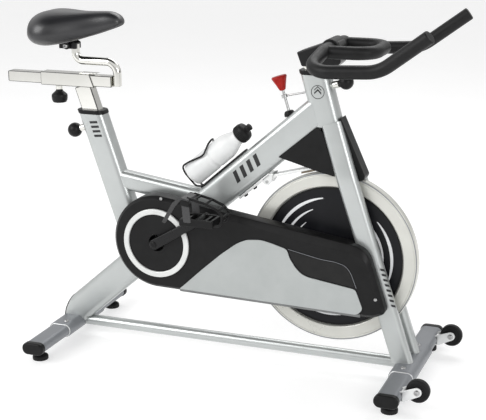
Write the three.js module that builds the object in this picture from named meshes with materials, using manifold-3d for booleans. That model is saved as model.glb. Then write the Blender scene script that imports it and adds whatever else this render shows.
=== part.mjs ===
// Indoor spin bike: a welded tube frame with a fork-mounted flywheel, a chain drive inside a
// side guard, an adjustable saddle and handlebar, and a push-down friction brake.
// Millimetres. +X is the way the rider faces, +Y the rider's left, +Z up, floor at Z = 0.
import * as THREE from 'three';
import { mergeVertices } from 'three/addons/utils/BufferGeometryUtils.js';
import Module from 'manifold-3d';

const wasm = await Module();
wasm.setup();

// ---------------------------------------------------------------- driving dimensions
const GAP = 0.3;
const ORIGIN_SHIFT_X = 42.5;           // puts the origin under the middle of the bike's length

const CRANK = { x: -190, z: 316, length: 172, angle: 31.3 };
const FLYWHEEL = { x: 263, z: 304, radius: 221, rimInner: 184, rimHalf: 12, webHalf: 5 };
const CHAIN_Y = -37;
const CHAINRING_R = 100;
const SPROCKET_R = 33;

const TUBE_WIDTH = 52;
const TUBE_CORNER = 17;
const WALL = 3;
const BEAM = { depth: 79, angle: 41 };
const SEAT = { x: -403, z: 630, depth: 70, tilt: 18.53 };
const HEAD = { x: 213, z: 768, depth: 70, tilt: 15.82, bottom: 640 };
const POST = { depth: 46, width: 30, corner: 5 };
const LEG = { depth: 52, width: 31, corner: 11, footX: 458.5, slope: 0.33, y: 36, topY: 15.8 };

const STABILIZER = { rearX: -480, frontX: 472, z: 41, tubeW: 58, tubeH: 30, sleeveW: 66, sleeveH: 38 };
const SLEEVE_HALF = 100;
const TUBE_HALF = 240;
const CAP_END = 252;
const FOOT_Y = 210;
const WHEEL = { x: 536, y: 190, z: 56, radius: 29, half: 11 };

const SLIDER = { bottom: 703, top: 732, width: 30, rear: -649, front: -341.4 };
const SADDLE_PIVOT = { x: -467, z: 824 };
const BAR_RADIUS = 14.5;
const LOOP_RADIUS = 16;
const PEDAL = { inner: 108, outer: 170, halfLength: 44, halfHeight: 11 };
const BOTTLE = { start: 228, lift: 42.5, radius: 32 };

// ---------------------------------------------------------------- directions
const rad = THREE.MathUtils.degToRad;
const V = (x, y, z) => new THREE.Vector3(x, y, z);
const beamDir = V(Math.cos(rad(BEAM.angle)), 0, Math.sin(rad(BEAM.angle)));
const beamUp = V(-Math.sin(rad(BEAM.angle)), 0, Math.cos(rad(BEAM.angle)));
const seatUp = V(-Math.sin(rad(SEAT.tilt)), 0, Math.cos(rad(SEAT.tilt)));
const headUp = V(-Math.sin(rad(HEAD.tilt)), 0, Math.cos(rad(HEAD.tilt)));
const crankAxis = V(CRANK.x, 0, CRANK.z);
const beamTop = crankAxis.dot(beamUp) + BEAM.depth / 2;
// A point above the beam's top face: s along the beam, t off its face, y sideways.
const onBeam = (s, t, y = 0) => beamDir.clone().multiplyScalar(s)
  .addScaledVector(beamUp, beamTop + t).setY(y);
const along = (from, dir, distance) => from.clone().addScaledVector(dir, distance);

// ---------------------------------------------------------------- solids
function solid(geometry) {
  const bare = geometry.clone();
  for (const name of ['normal', 'uv']) bare.deleteAttribute(name);
  const merged = mergeVertices(bare, 1e-4);
  const vertProperties = new Float32Array(merged.attributes.position.array);
  const triVerts = new Uint32Array(merged.index.array);
  return new wasm.Manifold(new wasm.Mesh({ numProp: 3, vertProperties, triVerts }));
}

function geometryOf(manifold) {
  const mesh = manifold.getMesh();
  const geometry = new THREE.BufferGeometry();
  geometry.setAttribute('position', new THREE.BufferAttribute(new Float32Array(mesh.vertProperties), 3));
  geometry.setIndex(new THREE.BufferAttribute(new Uint32Array(mesh.triVerts), 1));
  return geometry;
}

const join = (...parts) => parts.reduce((a, b) => a.add(b));
const cut = (body, ...tools) => tools.reduce((a, b) => a.subtract(b), body);

// Extrudes a shape from one point to another. The shape's x runs along xAxis.
function prism(shape, from, to, xAxis, curveSegments = 3) {
  const zAxis = to.clone().sub(from);
  const depth = zAxis.length();
  zAxis.normalize();
  const yAxis = zAxis.clone().cross(xAxis).normalize();
  const geometry = new THREE.ExtrudeGeometry(shape, { depth, bevelEnabled: false, curveSegments });
  const matrix = new THREE.Matrix4().makeBasis(xAxis.clone().normalize(), yAxis, zAxis);
  matrix.setPosition(from);
  return solid(geometry.applyMatrix4(matrix));
}

// Extrudes a side outline, given as [x, z] points or a shape, between two y values.
function slab(outline, y0, y1, curveSegments = 5) {
  const shape = outline instanceof THREE.Shape
    ? outline
    : new THREE.Shape(outline.map(([x, z]) => new THREE.Vector2(x, z)));
  return prism(shape, V(0, Math.max(y0, y1), 0), V(0, Math.min(y0, y1), 0), V(1, 0, 0), curveSegments);
}

function roundedRect(width, height, radius) {
  const a = width / 2;
  const b = height / 2;
  const r = Math.min(radius, a, b);
  const shape = new THREE.Shape();
  shape.moveTo(a, b - r);
  shape.absarc(a - r, b - r, r, 0, Math.PI / 2);
  shape.absarc(-a + r, b - r, r, Math.PI / 2, Math.PI);
  shape.absarc(-a + r, -b + r, r, Math.PI, 1.5 * Math.PI);
  shape.absarc(a - r, -b + r, r, 1.5 * Math.PI, 2 * Math.PI);
  return shape;
}

// A rounded bar: depth lies in the bike's side plane, width across it.
function bar(from, to, depth, width, radius, curveSegments = 2) {
  const dir = to.clone().sub(from).normalize();
  const across = V(0, 1, 0).cross(dir);
  return prism(roundedRect(depth, width, radius), from, to, across, curveSegments);
}

function rod(from, to, radius, sides = 20, radiusTo = radius) {
  const length = from.distanceTo(to);
  const geometry = new THREE.CylinderGeometry(radiusTo, radius, length, sides);
  const dir = to.clone().sub(from).normalize();
  const turn = new THREE.Quaternion().setFromUnitVectors(V(0, 1, 0), dir);
  geometry.applyQuaternion(turn);
  const middle = from.clone().add(to).multiplyScalar(0.5);
  return solid(geometry.translate(middle.x, middle.y, middle.z));
}

const crossRod = (x, z, radius, y0, y1, sides = 24) => rod(V(x, y0, z), V(x, y1, z), radius, sides);

// Turns [radius, distance] points about an axis that starts at a point.
function turned(profile, start, dir, sides = 24) {
  const points = profile.map(([r, d]) => new THREE.Vector2(r, d));
  const geometry = new THREE.LatheGeometry(points, sides);
  const turn = new THREE.Quaternion().setFromUnitVectors(V(0, 1, 0), dir.clone().normalize());
  geometry.applyQuaternion(turn);
  return solid(geometry.translate(start.x, start.y, start.z));
}

function box(x0, x1, y0, y1, z0, z1) {
  const geometry = new THREE.BoxGeometry(x1 - x0, y1 - y0, z1 - z0);
  return solid(geometry.translate((x0 + x1) / 2, (y0 + y1) / 2, (z0 + z1) / 2));
}

// A path of straight runs whose corners are rounded; fillets gives each inner corner's reach.
function filletPath(points, fillets) {
  const path = new THREE.CurvePath();
  let from = points[0];
  for (let i = 1; i < points.length - 1; i += 1) {
    const corner = points[i];
    const reach = fillets[i - 1];
    const enter = corner.clone().add(from.clone().sub(corner).setLength(reach));
    const leave = corner.clone().add(points[i + 1].clone().sub(corner).setLength(reach));
    path.add(new THREE.LineCurve3(from, enter));
    path.add(new THREE.QuadraticBezierCurve3(enter, corner, leave));
    from = leave;
  }
  path.add(new THREE.LineCurve3(from, points[points.length - 1]));
  return path;
}

function tube(path, radius, steps, sides = 5) {
  const circle = new THREE.Shape();
  circle.absarc(0, 0, radius, 0, 2 * Math.PI);
  const options = { steps, curveSegments: sides, extrudePath: path, bevelEnabled: false };
  return solid(new THREE.ExtrudeGeometry(circle, options));
}

// The outline round two circles on one line, as a belt runs.
function beltOutline(a, ra, b, rb) {
  const dx = b.x - a.x;
  const dz = b.z - a.z;
  const lean = Math.acos((ra - rb) / Math.hypot(dx, dz));
  const heading = Math.atan2(dz, dx);
  const shape = new THREE.Shape();
  shape.absarc(a.x, a.z, ra, heading + lean, heading + 2 * Math.PI - lean);
  shape.absarc(b.x, b.z, rb, heading - lean, heading + lean);
  return shape;
}

// ---------------------------------------------------------------- scene
const bike = new THREE.Group();
bike.position.x = ORIGIN_SHIFT_X;

const finish = {
  silver: [0xc8cccb, 0.35, 0.5],
  grey: [0x8b8e92, 0.4, 0.5],
  chrome: [0xe6e6e2, 0.08, 1],
  steel: [0xa7a9aa, 0.3, 1],
  iron: [0xd2d2c8, 0.35, 0.8],
  black: [0x262628, 0.5, 0],
  rubber: [0x1c1c1e, 0.8, 0],
  vinyl: [0x161618, 0.4, 0],
  red: [0xaa190a, 0.4, 0],
  white: [0xf2f2f0, 0.35, 0],
  felt: [0x6b5f4f, 0.95, 0],
};

function add(name, body, look) {
  const [color, roughness, metalness] = finish[look];
  const mesh = new THREE.Mesh(geometryOf(body),
    new THREE.MeshStandardMaterial({ color, roughness, metalness }));
  mesh.name = name;
  bike.add(mesh);
}

const sides = [['left', 1], ['right', -1]];

// ---------------------------------------------------------------- frame tubes
const seatFoot = along(V(SEAT.x, 0, SEAT.z), seatUp, -440);
const seatTop = V(SEAT.x, 0, SEAT.z);
const headTop = V(HEAD.x, 0, HEAD.z);
const headFoot = along(headTop, headUp, -150);
const beamAt = (s) => along(crankAxis, beamDir, s);

const beamOuter = (grow) => bar(beamAt(-480), beamAt(620), BEAM.depth + grow, TUBE_WIDTH + grow,
  TUBE_CORNER);
const seatOuter = (grow) => bar(seatFoot, along(seatTop, seatUp, 40), SEAT.depth + grow,
  TUBE_WIDTH + grow, TUBE_CORNER);
const headOuter = (grow) => bar(headFoot, along(headTop, headUp, 40), HEAD.depth + grow,
  TUBE_WIDTH + grow, TUBE_CORNER);
const sleeveAt = (x, grow, half) => prism(
  roundedRect(STABILIZER.sleeveW + grow, STABILIZER.sleeveH + grow, 30),
  V(x, half, STABILIZER.z), V(x, -half, STABILIZER.z), V(1, 0, 0), 3);

// The brake's push rod leans like the head tube and passes through the beam.
const rodDir = V(0.2978, 0, -0.9546);
const rodEntry = V(146, 0, 661);

// Rear end of the beam, seen from the side: rounded down onto the stabilizer.
const beamSide = [
  [-503, 44], [-503, 60], [-490, 97], [-474, 124], [-456, 138.5], [-300, 900],
  [700, 900], [700, 58], [-455, 58], [-458, 44],
];
const hollowBeam = bar(beamAt(-360), beamAt(620), BEAM.depth - 2 * WALL, TUBE_WIDTH - 2 * WALL,
  TUBE_CORNER - WALL);
let beam = beamOuter(0).intersect(slab(beamSide, -40, 40));
beam = cut(beam, hollowBeam);
beam = join(beam, crossRod(CRANK.x, CRANK.z, 21, -32, 32));
beam = cut(
  beam,
  headOuter(2 * GAP), along2Head(), sleeveAt(STABILIZER.rearX, 2 * GAP, SLEEVE_HALF + 1),
  crossRod(CRANK.x, CRANK.z, 9, -40, 40),
  rod(along(rodEntry, rodDir, -40), along(rodEntry, rodDir, 140), 6, 12));
add('main_beam', beam, 'silver');

// Everything ahead of the head tube's middle plane, so the beam stops at the head tube.
function along2Head() {
  const top = along(headTop, headUp, 120);
  const foot = along(headTop, headUp, -200);
  return slab([[top.x, top.z], [top.x + 300, top.z], [foot.x + 300, foot.z], [foot.x, foot.z]], -60, 60);
}

const pinStart = { seat: V(-393.8, 0, 602.5), head: V(223, 0, 733), slider: V(-504, 0, 703) };
const pinDir = {
  seat: V(-Math.cos(rad(SEAT.tilt)), 0, -Math.sin(rad(SEAT.tilt))),
  head: V(Math.cos(rad(HEAD.tilt)), 0, Math.sin(rad(HEAD.tilt))),
  slider: V(0, 0, -1),
};
const pinBoss = (key, from, to, radius) =>
  rod(along(pinStart[key], pinDir[key], from), along(pinStart[key], pinDir[key], to), radius, 20);

let seatTube = cut(seatOuter(0), bar(seatFoot, along(seatTop, seatUp, 45), SEAT.depth - 2 * WALL,
  TUBE_WIDTH - 2 * WALL, TUBE_CORNER - WALL));
seatTube = join(seatTube, pinBoss('seat', 33.5, 52, 10));
seatTube = cut(
  seatTube, beamOuter(2 * GAP), box(-600, 100, -60, 60, -50, 200), box(-600, -200, -60, 60, SEAT.z, 800),
  pinBoss('seat', 20, 60, 4.6));
seatTube = seatTube.decompose().sort((a, b) => b.volume() - a.volume())[0];
add('seat_tube', seatTube, 'silver');

// The brace runs from the seat tube's front down to the beam, inside the guard's top edge.
const braceRear = V(-330, 0, 458);
const braceFront = V(-40, 0, 416);
let brace = bar(braceRear, braceFront, 50, 44, 14);
brace = cut(brace, bar(along(braceRear, V(-1, 0, 0), 5), V(-20, 0, 413), 44, 38, 11));
brace = cut(brace, seatOuter(2 * GAP), beamOuter(2 * GAP));
brace = brace.decompose().sort((a, b) => b.volume() - a.volume())[0];
add('brace_tube', brace, 'silver');

const stayEnd = V(131.3, 0, 708);
let head = cut(headOuter(0), bar(along(headFoot, headUp, -5), along(headTop, headUp, 45),
  HEAD.depth - 2 * WALL, TUBE_WIDTH - 2 * WALL, TUBE_CORNER - WALL));
head = join(
  head, pinBoss('head', 33.5, 50, 9),
  rod(V(192, 0, 722), stayEnd, 2.5, 10),
  rod(along(stayEnd, rodDir, -5), along(stayEnd, rodDir, 5), 9, 16));
head = cut(
  head, rod(along(stayEnd, rodDir, -9), along(stayEnd, rodDir, 9), 5.6, 16),
  pinBoss('head', 20, 60, 4.6), box(0, 400, -60, 60, 400, HEAD.bottom),
  box(0, 400, -60, 60, HEAD.z, 900));
add('head_tube', head, 'silver');

// ---------------------------------------------------------------- fork
const legX = (z) => LEG.footX - LEG.slope * (z - 60);
const splayZ = 522;
function legBody(sign, grow) {
  const d = LEG.depth + grow;
  const w = LEG.width + grow;
  const knee = V(legX(splayZ), sign * LEG.y, splayZ);
  const foot = V(legX(30), sign * LEG.y, 30);
  const top = V(legX(650) - 4, sign * LEG.topY, 650);
  const path = filletPath([foot, knee, top], [40]);
  const section = roundedRect(w, d, LEG.corner);
  const options = { steps: 10, curveSegments: 2, extrudePath: path, bevelEnabled: false };
  return solid(new THREE.ExtrudeGeometry(section, options));
}
const axlePlate = (sign) => {
  const plate = slab(beltOutline(V(FLYWHEEL.x, 0, FLYWHEEL.z), 24, V(372, 0, 296), 30), sign * 45.5,
    sign * 51, 6);
  return plate;
};
const clampZ = box(-700, 700, -200, 200, -200, 20);
for (const [side, sign] of sides) {
  let leg = legBody(sign, 0);
  leg = join(leg, axlePlate(sign));
  leg = cut(
    leg, crossRod(FLYWHEEL.x, FLYWHEEL.z, 6.4, sign * 40, sign * 60),
    sleeveAt(STABILIZER.frontX, 2 * GAP, SLEEVE_HALF + 1), clampZ,
    box(0, 500, -60, 60, HEAD.bottom - GAP, 900), box(400, 444, -80, 80, 20, 45));
  leg = leg.decompose().sort((a, b) => b.volume() - a.volume())[0];
  add(`fork_leg_${side}`, leg, 'silver');
}

// ---------------------------------------------------------------- stabilizers and floor bar
const oval = (w, h, x, half) => prism(roundedRect(w, h, 30), V(x, half, STABILIZER.z),
  V(x, -half, STABILIZER.z), V(1, 0, 0), 3);
const footRadius = 21;
for (const [end, x] of [['rear', STABILIZER.rearX], ['front', STABILIZER.frontX]]) {
  const sleeve = cut(sleeveAt(x, 0, SLEEVE_HALF),
    oval(STABILIZER.tubeW + 2 * GAP, STABILIZER.tubeH + 2 * GAP, x, SLEEVE_HALF + 5));
  add(`${end}_stabilizer_sleeve`, sleeve, 'grey');

  let inner = cut(
    oval(STABILIZER.tubeW, STABILIZER.tubeH, x, TUBE_HALF),
    oval(STABILIZER.tubeW - 6, STABILIZER.tubeH - 6, x, TUBE_HALF + 5));
  for (const [, sign] of sides) {
    inner = cut(inner, rod(V(x, sign * FOOT_Y, 10), V(x, sign * FOOT_Y, 40), 5.4, 14));
    if (end === 'front') inner = join(inner, wheelBracket(sign));
  }
  add(`${end}_stabilizer_tube`, inner, 'grey');

  for (const [side, sign] of sides) {
    const cap = join(
      prism(roundedRect(61, 32, 30), V(x, sign * (TUBE_HALF + GAP), STABILIZER.z),
        V(x, sign * CAP_END, STABILIZER.z), V(1, 0, 0), 3),
      prism(roundedRect(51, 23, 30), V(x, sign * 226, STABILIZER.z),
        V(x, sign * (TUBE_HALF + 2), STABILIZER.z), V(1, 0, 0), 3));
    add(`end_cap_${end}_${side}`, cap, 'black');

    const foot = turned([[0, 0], [footRadius, 0], [footRadius, 9], [16, 14], [8, 15], [5, 15],
      [5, 38], [0, 38]], V(x, sign * FOOT_Y, 0), V(0, 0, 1), 18);
    add(`levelling_foot_${end}_${side}`, foot, 'rubber');
  }
}

// A two-eared fork welded to the front tube, with the wheel's axle pin across it.
function wheelBracket(sign) {
  const ear = (y0, y1) => slab(
    beltOutline(V(WHEEL.x, 0, WHEEL.z + 1), 11.5, V(500, 0, 41), 13.5), y0, y1, 5);
  const a = WHEEL.half + 1;
  const y = sign * WHEEL.y;
  const body = join(
    ear(y - a - 3.5, y - a), ear(y + a, y + a + 3.5),
    box(495, 502, y - a - 3.5, y + a + 3.5, 30, 52),
    crossRod(WHEEL.x, WHEEL.z, 5, y - a - 8, y + a + 8, 12));
  return cut(body, oval(STABILIZER.tubeW - 1, STABILIZER.tubeH - 1, STABILIZER.frontX, TUBE_HALF));
}
for (const [side, sign] of sides) {
  const r = WHEEL.radius;
  const profile = [[5.5, -10], [12, -10], [r - 4, -9], [r, -5], [r, 5], [r - 4, 9], [12, 10],
    [5.5, 10], [5.5, -10]];
  add(`transport_wheel_${side}`, turned(profile, V(WHEEL.x, sign * WHEEL.y, WHEEL.z), V(0, 1, 0),
    20), 'rubber');
}

const floorFrom = V(STABILIZER.rearX + 20, 0, 41.5);
const floorTo = V(STABILIZER.frontX - 20, 0, 41.5);
let floorBar = cut(bar(floorFrom, floorTo, 29, 30, 7), bar(V(-500, 0, 41.5), V(500, 0, 41.5), 24, 25, 5));
floorBar = cut(floorBar, sleeveAt(STABILIZER.rearX, 2 * GAP, 60), sleeveAt(STABILIZER.frontX, 2 * GAP, 60));
add('floor_bar', floorBar, 'silver');

// ---------------------------------------------------------------- saddle and its adjusters
const seatPostGap = (base, tilt, grow) => bar(along(base, tilt, -60), along(base, tilt, 60),
  POST.depth + grow, POST.width + grow, POST.corner);
// A level collar on a sloping tube, with a spigot down inside it and a slot for the sliding post.
function collar(name, base, up, depth) {
  const from = along(base, up, -60);
  const to = along(base, up, 60);
  const rim = bar(from, to, depth + 3, TUBE_WIDTH + 3, TUBE_CORNER)
    .intersect(box(-600, 400, -60, 60, base.z + GAP, base.z + 11));
  const spigot = bar(from, to, depth - 2 * WALL - 0.8, TUBE_WIDTH - 2 * WALL - 0.8,
    TUBE_CORNER - WALL - 0.4)
    .intersect(box(-600, 400, -60, 60, base.z - 15, base.z + 5));
  add(name, cut(join(rim, spigot), seatPostGap(base, up, 2 * GAP)), 'black');
}
collar('seat_tube_collar', seatTop, seatUp, SEAT.depth);
collar('head_tube_collar', headTop, headUp, HEAD.depth);

const sleeveSide = [[-549, 700], [-391, 700], [-404, 735], [-549, 735]];
let seatPost = bar(along(seatTop, seatUp, -260), along(seatTop, seatUp, 95), POST.depth, POST.width,
  POST.corner);
seatPost = cut(seatPost, bar(along(seatTop, seatUp, -270), along(seatTop, seatUp, 60),
  POST.depth - 6, POST.width - 6, 3));
seatPost = cut(seatPost, box(-600, -200, -60, 60, 701, 900));
seatPost = join(seatPost, slab(sleeveSide, -18, 18), pinBoss('slider', 2, 15, 10));
seatPost = cut(
  seatPost, box(-600, -300, -SLIDER.width / 2 - GAP, SLIDER.width / 2 + GAP, SLIDER.bottom - GAP,
    SLIDER.top + GAP),
  pinBoss('slider', -1, 30, 4.6));
add('seat_post', seatPost, 'chrome');

const sliderZ = (SLIDER.bottom + SLIDER.top) / 2;
const sliderBar = cut(
  bar(V(SLIDER.rear, 0, sliderZ), V(SLIDER.front, 0, sliderZ), SLIDER.top - SLIDER.bottom, SLIDER.width, 4),
  bar(V(SLIDER.rear - 5, 0, sliderZ), V(SLIDER.front - 20, 0, sliderZ),
    SLIDER.top - SLIDER.bottom - 6, SLIDER.width - 6, 2));
add('seat_slider_bar', sliderBar, 'chrome');

const neck = [V(-450, 0, 812), V(-450, 0, 768), V(-330, 0, 768), V(-330, 0, 705)];
add('saddle_post', tube(filletPath(neck, [20, 30]), 11, 18, 6), 'chrome');

const clampBody = cut(
  join(
    slab(roundedAt(-466, 807, 50, 18, 5), -15, 15, 3),
    slab([[-478, 806], [-456, 806], [-458, 820.2], [-476, 820.2]], -31, 31),
    crossRod(-467, 808, 8, -33, 33, 16)),
  rod(V(-450, 0, 780), V(-450, 0, 812 + GAP), 11 + GAP, 20));
add('saddle_clamp', clampBody, 'black');

function roundedAt(x, z, w, h, r) {
  const shape = roundedRect(w, h, r);
  const points = shape.getPoints(3).map((p) => new THREE.Vector2(p.x + x, p.y + z));
  return new THREE.Shape(points);
}

const railHalf = [[-548, 830, 24], [-520, SADDLE_PIVOT.z, 22], [-430, SADDLE_PIVOT.z, 22], [-392, 833, 16]];
const railPoints = [
  ...railHalf.map(([x, z, y]) => V(x, y, z)),
  ...railHalf.map(([x, z, y]) => V(x, -y, z)).reverse(),
];
add('saddle_rails', tube(filletPath(railPoints, [10, 14, 8, 8, 14, 10]), 3.4, 24, 3), 'steel');

// The saddle's plan outline, and its side outline; the pad is what they share.
const plan = new THREE.Shape();
plan.moveTo(-312, 0);
plan.bezierCurveTo(-312, 20, -330, 24, -350, 25);
plan.bezierCurveTo(-410, 30, -440, 58, -465, 82);
plan.bezierCurveTo(-495, 104, -530, 106, -552, 72);
plan.bezierCurveTo(-566, 50, -566, 20, -562, 0);
plan.bezierCurveTo(-566, -20, -566, -50, -552, -72);
plan.bezierCurveTo(-530, -106, -495, -104, -465, -82);
plan.bezierCurveTo(-440, -58, -410, -30, -350, -25);
plan.bezierCurveTo(-330, -24, -312, -20, -312, 0);
const saddleSide = [
  [-566, 834], [-569, 852], [-564, 874], [-550, 889], [-525, 898], [-495, 901], [-440, 899],
    [-390, 898], [-350, 898],
  [-330, 893], [-316, 881], [-310, 868], [-340, 853], [-380, 840], [-430, 824], [-480, 812],
    [-530, 810], [-555, 818],
];
const underside = [[-580, 790], [-580, 838], [-430, 838], [-395, 845], [-380, 840], [-380, 790]];
let pad = prism(plan, V(0, 0, 800), V(0, 0, 910), V(1, 0, 0), 5).intersect(slab(saddleSide, -110, 110));
pad = cut(pad, slab(underside, -42, 42));
add('saddle', pad, 'vinyl');

// Pull pins: a knob on a spring plunger whose tip waits just clear of the sliding post.
function pullPin(name, key, tip, neckEnd, knob) {
  const profile = [[0, tip], [4, tip], [4, neckEnd + 0.6], [9, neckEnd + 1], [knob * 0.72, neckEnd + 6],
    [knob, neckEnd + 15], [knob, neckEnd + 23], [knob * 0.8, neckEnd + 32], [knob * 0.45, neckEnd + 36],
    [0, neckEnd + 36.5]];
  add(name, turned(profile, pinStart[key], pinDir[key], 16), 'black');
}
pullPin('seat_height_pin', 'seat', 23.8, 52.4, 19);
pullPin('handlebar_height_pin', 'head', 23.8, 50.4, 18);
pullPin('seat_slider_pin', 'slider', 0.6, 15.4, 19);

// ---------------------------------------------------------------- handlebar
const postTop = along(headTop, headUp, 22);
const barPost = cut(
  bar(along(headTop, headUp, -112), postTop, POST.depth, POST.width, POST.corner),
  bar(along(headTop, headUp, -120), along(headTop, headUp, -4), POST.depth - 6, POST.width - 6, 3));
add('handlebar_post', barPost, 'chrome');

const crossbar = V(258, 0, 838);
const outerHalf = [V(543, 214, 904), V(424, 200, 815), V(249, 197, 806), V(crossbar.x, 84, crossbar.z)];
const mirrored = (points) => [...points, ...points.map((p) => V(p.x, -p.y, p.z)).reverse()];
const outerPath = filletPath(mirrored(outerHalf), [34, 58, 40, 40, 58, 34]);
add('outer_handlebar', tube(outerPath, BAR_RADIUS, 44, 5), 'rubber');

const loopHalf = [V(crossbar.x + BAR_RADIUS + GAP, 75, crossbar.z - 3), V(375, 75, crossbar.z - 3)];
add('inner_handlebar', tube(filletPath(mirrored(loopHalf), [48, 48]), LOOP_RADIUS, 22, 5), 'rubber');

const stemSide = [[184, 789], [171, 823], [235, 846], [257, 858], [276, 852], [283, 838], [283, 802],
  [268, 789]];
let stem = slab(stemSide, -28, 28);
stem = cut(
  stem, rod(V(crossbar.x, -60, crossbar.z), V(crossbar.x, 60, crossbar.z), BAR_RADIUS + 2 * GAP, 20),
  bar(along(headTop, headUp, 0), along(headTop, headUp, 22 + GAP), POST.depth + 2 * GAP,
    POST.width + 2 * GAP, POST.corner));
add('handlebar_stem', stem, 'black');

// ---------------------------------------------------------------- brake
const brakePivot = V(92, 0, 489);
const leverProfile = [[7, 0], [9, 3], [12, 12], [18, 28], [20, 33], [18.5, 36], [0, 37.5]];
const knobBase = along(rodEntry, rodDir, -64);
add('resistance_knob', turned([[5 + GAP, 0], ...leverProfile.slice(0, 6), [0, 37.5], [0, 26],
  [5 + GAP, 26], [5 + GAP, 0]], knobBase, rodDir.clone().negate(), 24), 'red');
add('resistance_rod', rod(along(rodEntry, rodDir, 134), along(knobBase, rodDir, -25.4), 5, 14), 'steel');

const beamUnder = (s, t, y) => onBeam(s, t - BEAM.depth - GAP, y);
const plateBase = 300;
let bracket = prism(
  roundedRect(40, 6, 1), beamUnder(plateBase, -3, 0), beamUnder(plateBase + 108, -3, 0), V(0, 1, 0), 2);
for (const [, sign] of sides) {
  bracket = join(bracket, slab([[80, 494], [96, 508], [108, 512], [104, 490], [97, 481], [87, 481],
    [80, 486]], sign * 17, sign * 20));
}
bracket = cut(bracket, crossRod(brakePivot.x, brakePivot.z, 4.4, -30, 30, 16),
  rod(along(rodEntry, rodDir, 60), along(rodEntry, rodDir, 140), 6, 12), beamOuter(GAP));
bracket = bracket.decompose().sort((a, b) => b.volume() - a.volume())[0];
add('brake_bracket', bracket, 'black');

const armLine = (x) => 505.5 + LEG.slope * 0.84 * (x - 112);
const armSide = [[86, 489], [92, 495.5], [108, 508], [226, armLine(226) + 3], [226, armLine(226) - 3],
  [113, armLine(113) - 3], [98, 487], [92, 482.6], [87, 484]];
const arm = join(slab(armSide, -16, 16), crossRod(brakePivot.x, brakePivot.z, 4, -21, 21, 14));
add('brake_arm', arm, 'steel');
const padSide = [[180, armLine(180) - 3.3], [222, armLine(222) - 3.3], [222, armLine(222) - 9],
  [201, armLine(201) - 9.6], [180, armLine(180) - 9]];
add('brake_pad', slab(padSide, -11, 11), 'felt');

// Covers over the brake: cheeks either side of the beam, and a nose between the fork legs.
const cheekSide = [[224, 641], [125, 558], [234, 528], [274, 520], [263, 560], [240, 630]];
const rearShroud = join(
  slab(cheekSide, -30, -27.2), slab(cheekSide, 27.2, 30), box(231, 234.5, -28, 28, 552, 625));
add('rear_shroud', rearShroud, 'black');

const noseSide = [[282, 662], [346, 524], [342, 513], [318, 506], [296, 560], [279, 640]];
let nose = slab(noseSide, -20, 20);
nose = cut(nose, legBody(1, 1.2), legBody(-1, 1.2), headOuter(2 * GAP),
  crossRod(FLYWHEEL.x, FLYWHEEL.z, FLYWHEEL.radius + 6, -16, 16, 56));
nose = nose.decompose().sort((a, b) => b.volume() - a.volume())[0];
add('front_shroud', nose, 'black');

// ---------------------------------------------------------------- flywheel
const F = FLYWHEEL;
const flywheelProfile = [
  [6.6, -18], [26, -18], [30, -F.webHalf], [F.rimInner, -F.webHalf], [F.rimInner + 3, -F.rimHalf],
  [F.radius - 2, -F.rimHalf], [F.radius, -F.rimHalf + 2], [F.radius, F.rimHalf - 2],
    [F.radius - 2, F.rimHalf],
  [F.rimInner + 3, F.rimHalf], [F.rimInner, F.webHalf], [30, F.webHalf], [26, 18], [6.6, 18], [6.6, -18]];
add('flywheel', turned(flywheelProfile, V(F.x, 0, F.z), V(0, 1, 0), 48), 'iron');
const axle = join(
  crossRod(F.x, F.z, 6, -62, 62, 16), crossRod(F.x, F.z, 9.5, 51.5, 59, 6),
    crossRod(F.x, F.z, 9.5, -59, -51.5, 6),
  crossRod(F.x, F.z, 8.5, 19, 45, 16), crossRod(F.x, F.z, 8.5, -45, -42, 16));
add('flywheel_axle', axle, 'steel');
const sprocketProfile = [[6.6, 18.5], [15, 18.5], [15, 35], [SPROCKET_R, 35], [SPROCKET_R, 39],
  [15, 39], [15, 41], [6.6, 41], [6.6, 18.5]];
add('flywheel_sprocket', turned(sprocketProfile, V(F.x, 0, F.z), V(0, -1, 0), 24), 'steel');

// ---------------------------------------------------------------- crank, chain and pedals
const pedalAt = (sign) => V(
  CRANK.x - sign * CRANK.length * Math.cos(rad(CRANK.angle)), 0,
  CRANK.z - sign * CRANK.length * Math.sin(rad(CRANK.angle)));
add('crank_axle', crossRod(CRANK.x, CRANK.z, 8.5, -104, 104, 20), 'steel');

let ring = crossRod(CRANK.x, CRANK.z, CHAINRING_R, CHAIN_Y - 2, CHAIN_Y + 2, 40);
for (let i = 0; i < 5; i += 1) {
  const a = (i + 0.5) * 2 * Math.PI / 5;
  ring = cut(ring, crossRod(CRANK.x + 60 * Math.cos(a), CRANK.z + 60 * Math.sin(a), 25, -50, -20, 10));
}
add('chainring', cut(ring, crossRod(CRANK.x, CRANK.z, 8.5 + GAP, -50, -20, 20)), 'steel');

const chainRound = (grow) => beltOutline(V(CRANK.x, 0, CRANK.z), CHAINRING_R + grow, V(F.x, 0, F.z),
  SPROCKET_R + grow);
const chain = cut(slab(chainRound(6), CHAIN_Y - 3.5, CHAIN_Y + 3.5, 12),
  slab(chainRound(0.5), CHAIN_Y - 5, CHAIN_Y + 5, 12));
add('drive_chain', chain, 'steel');

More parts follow.
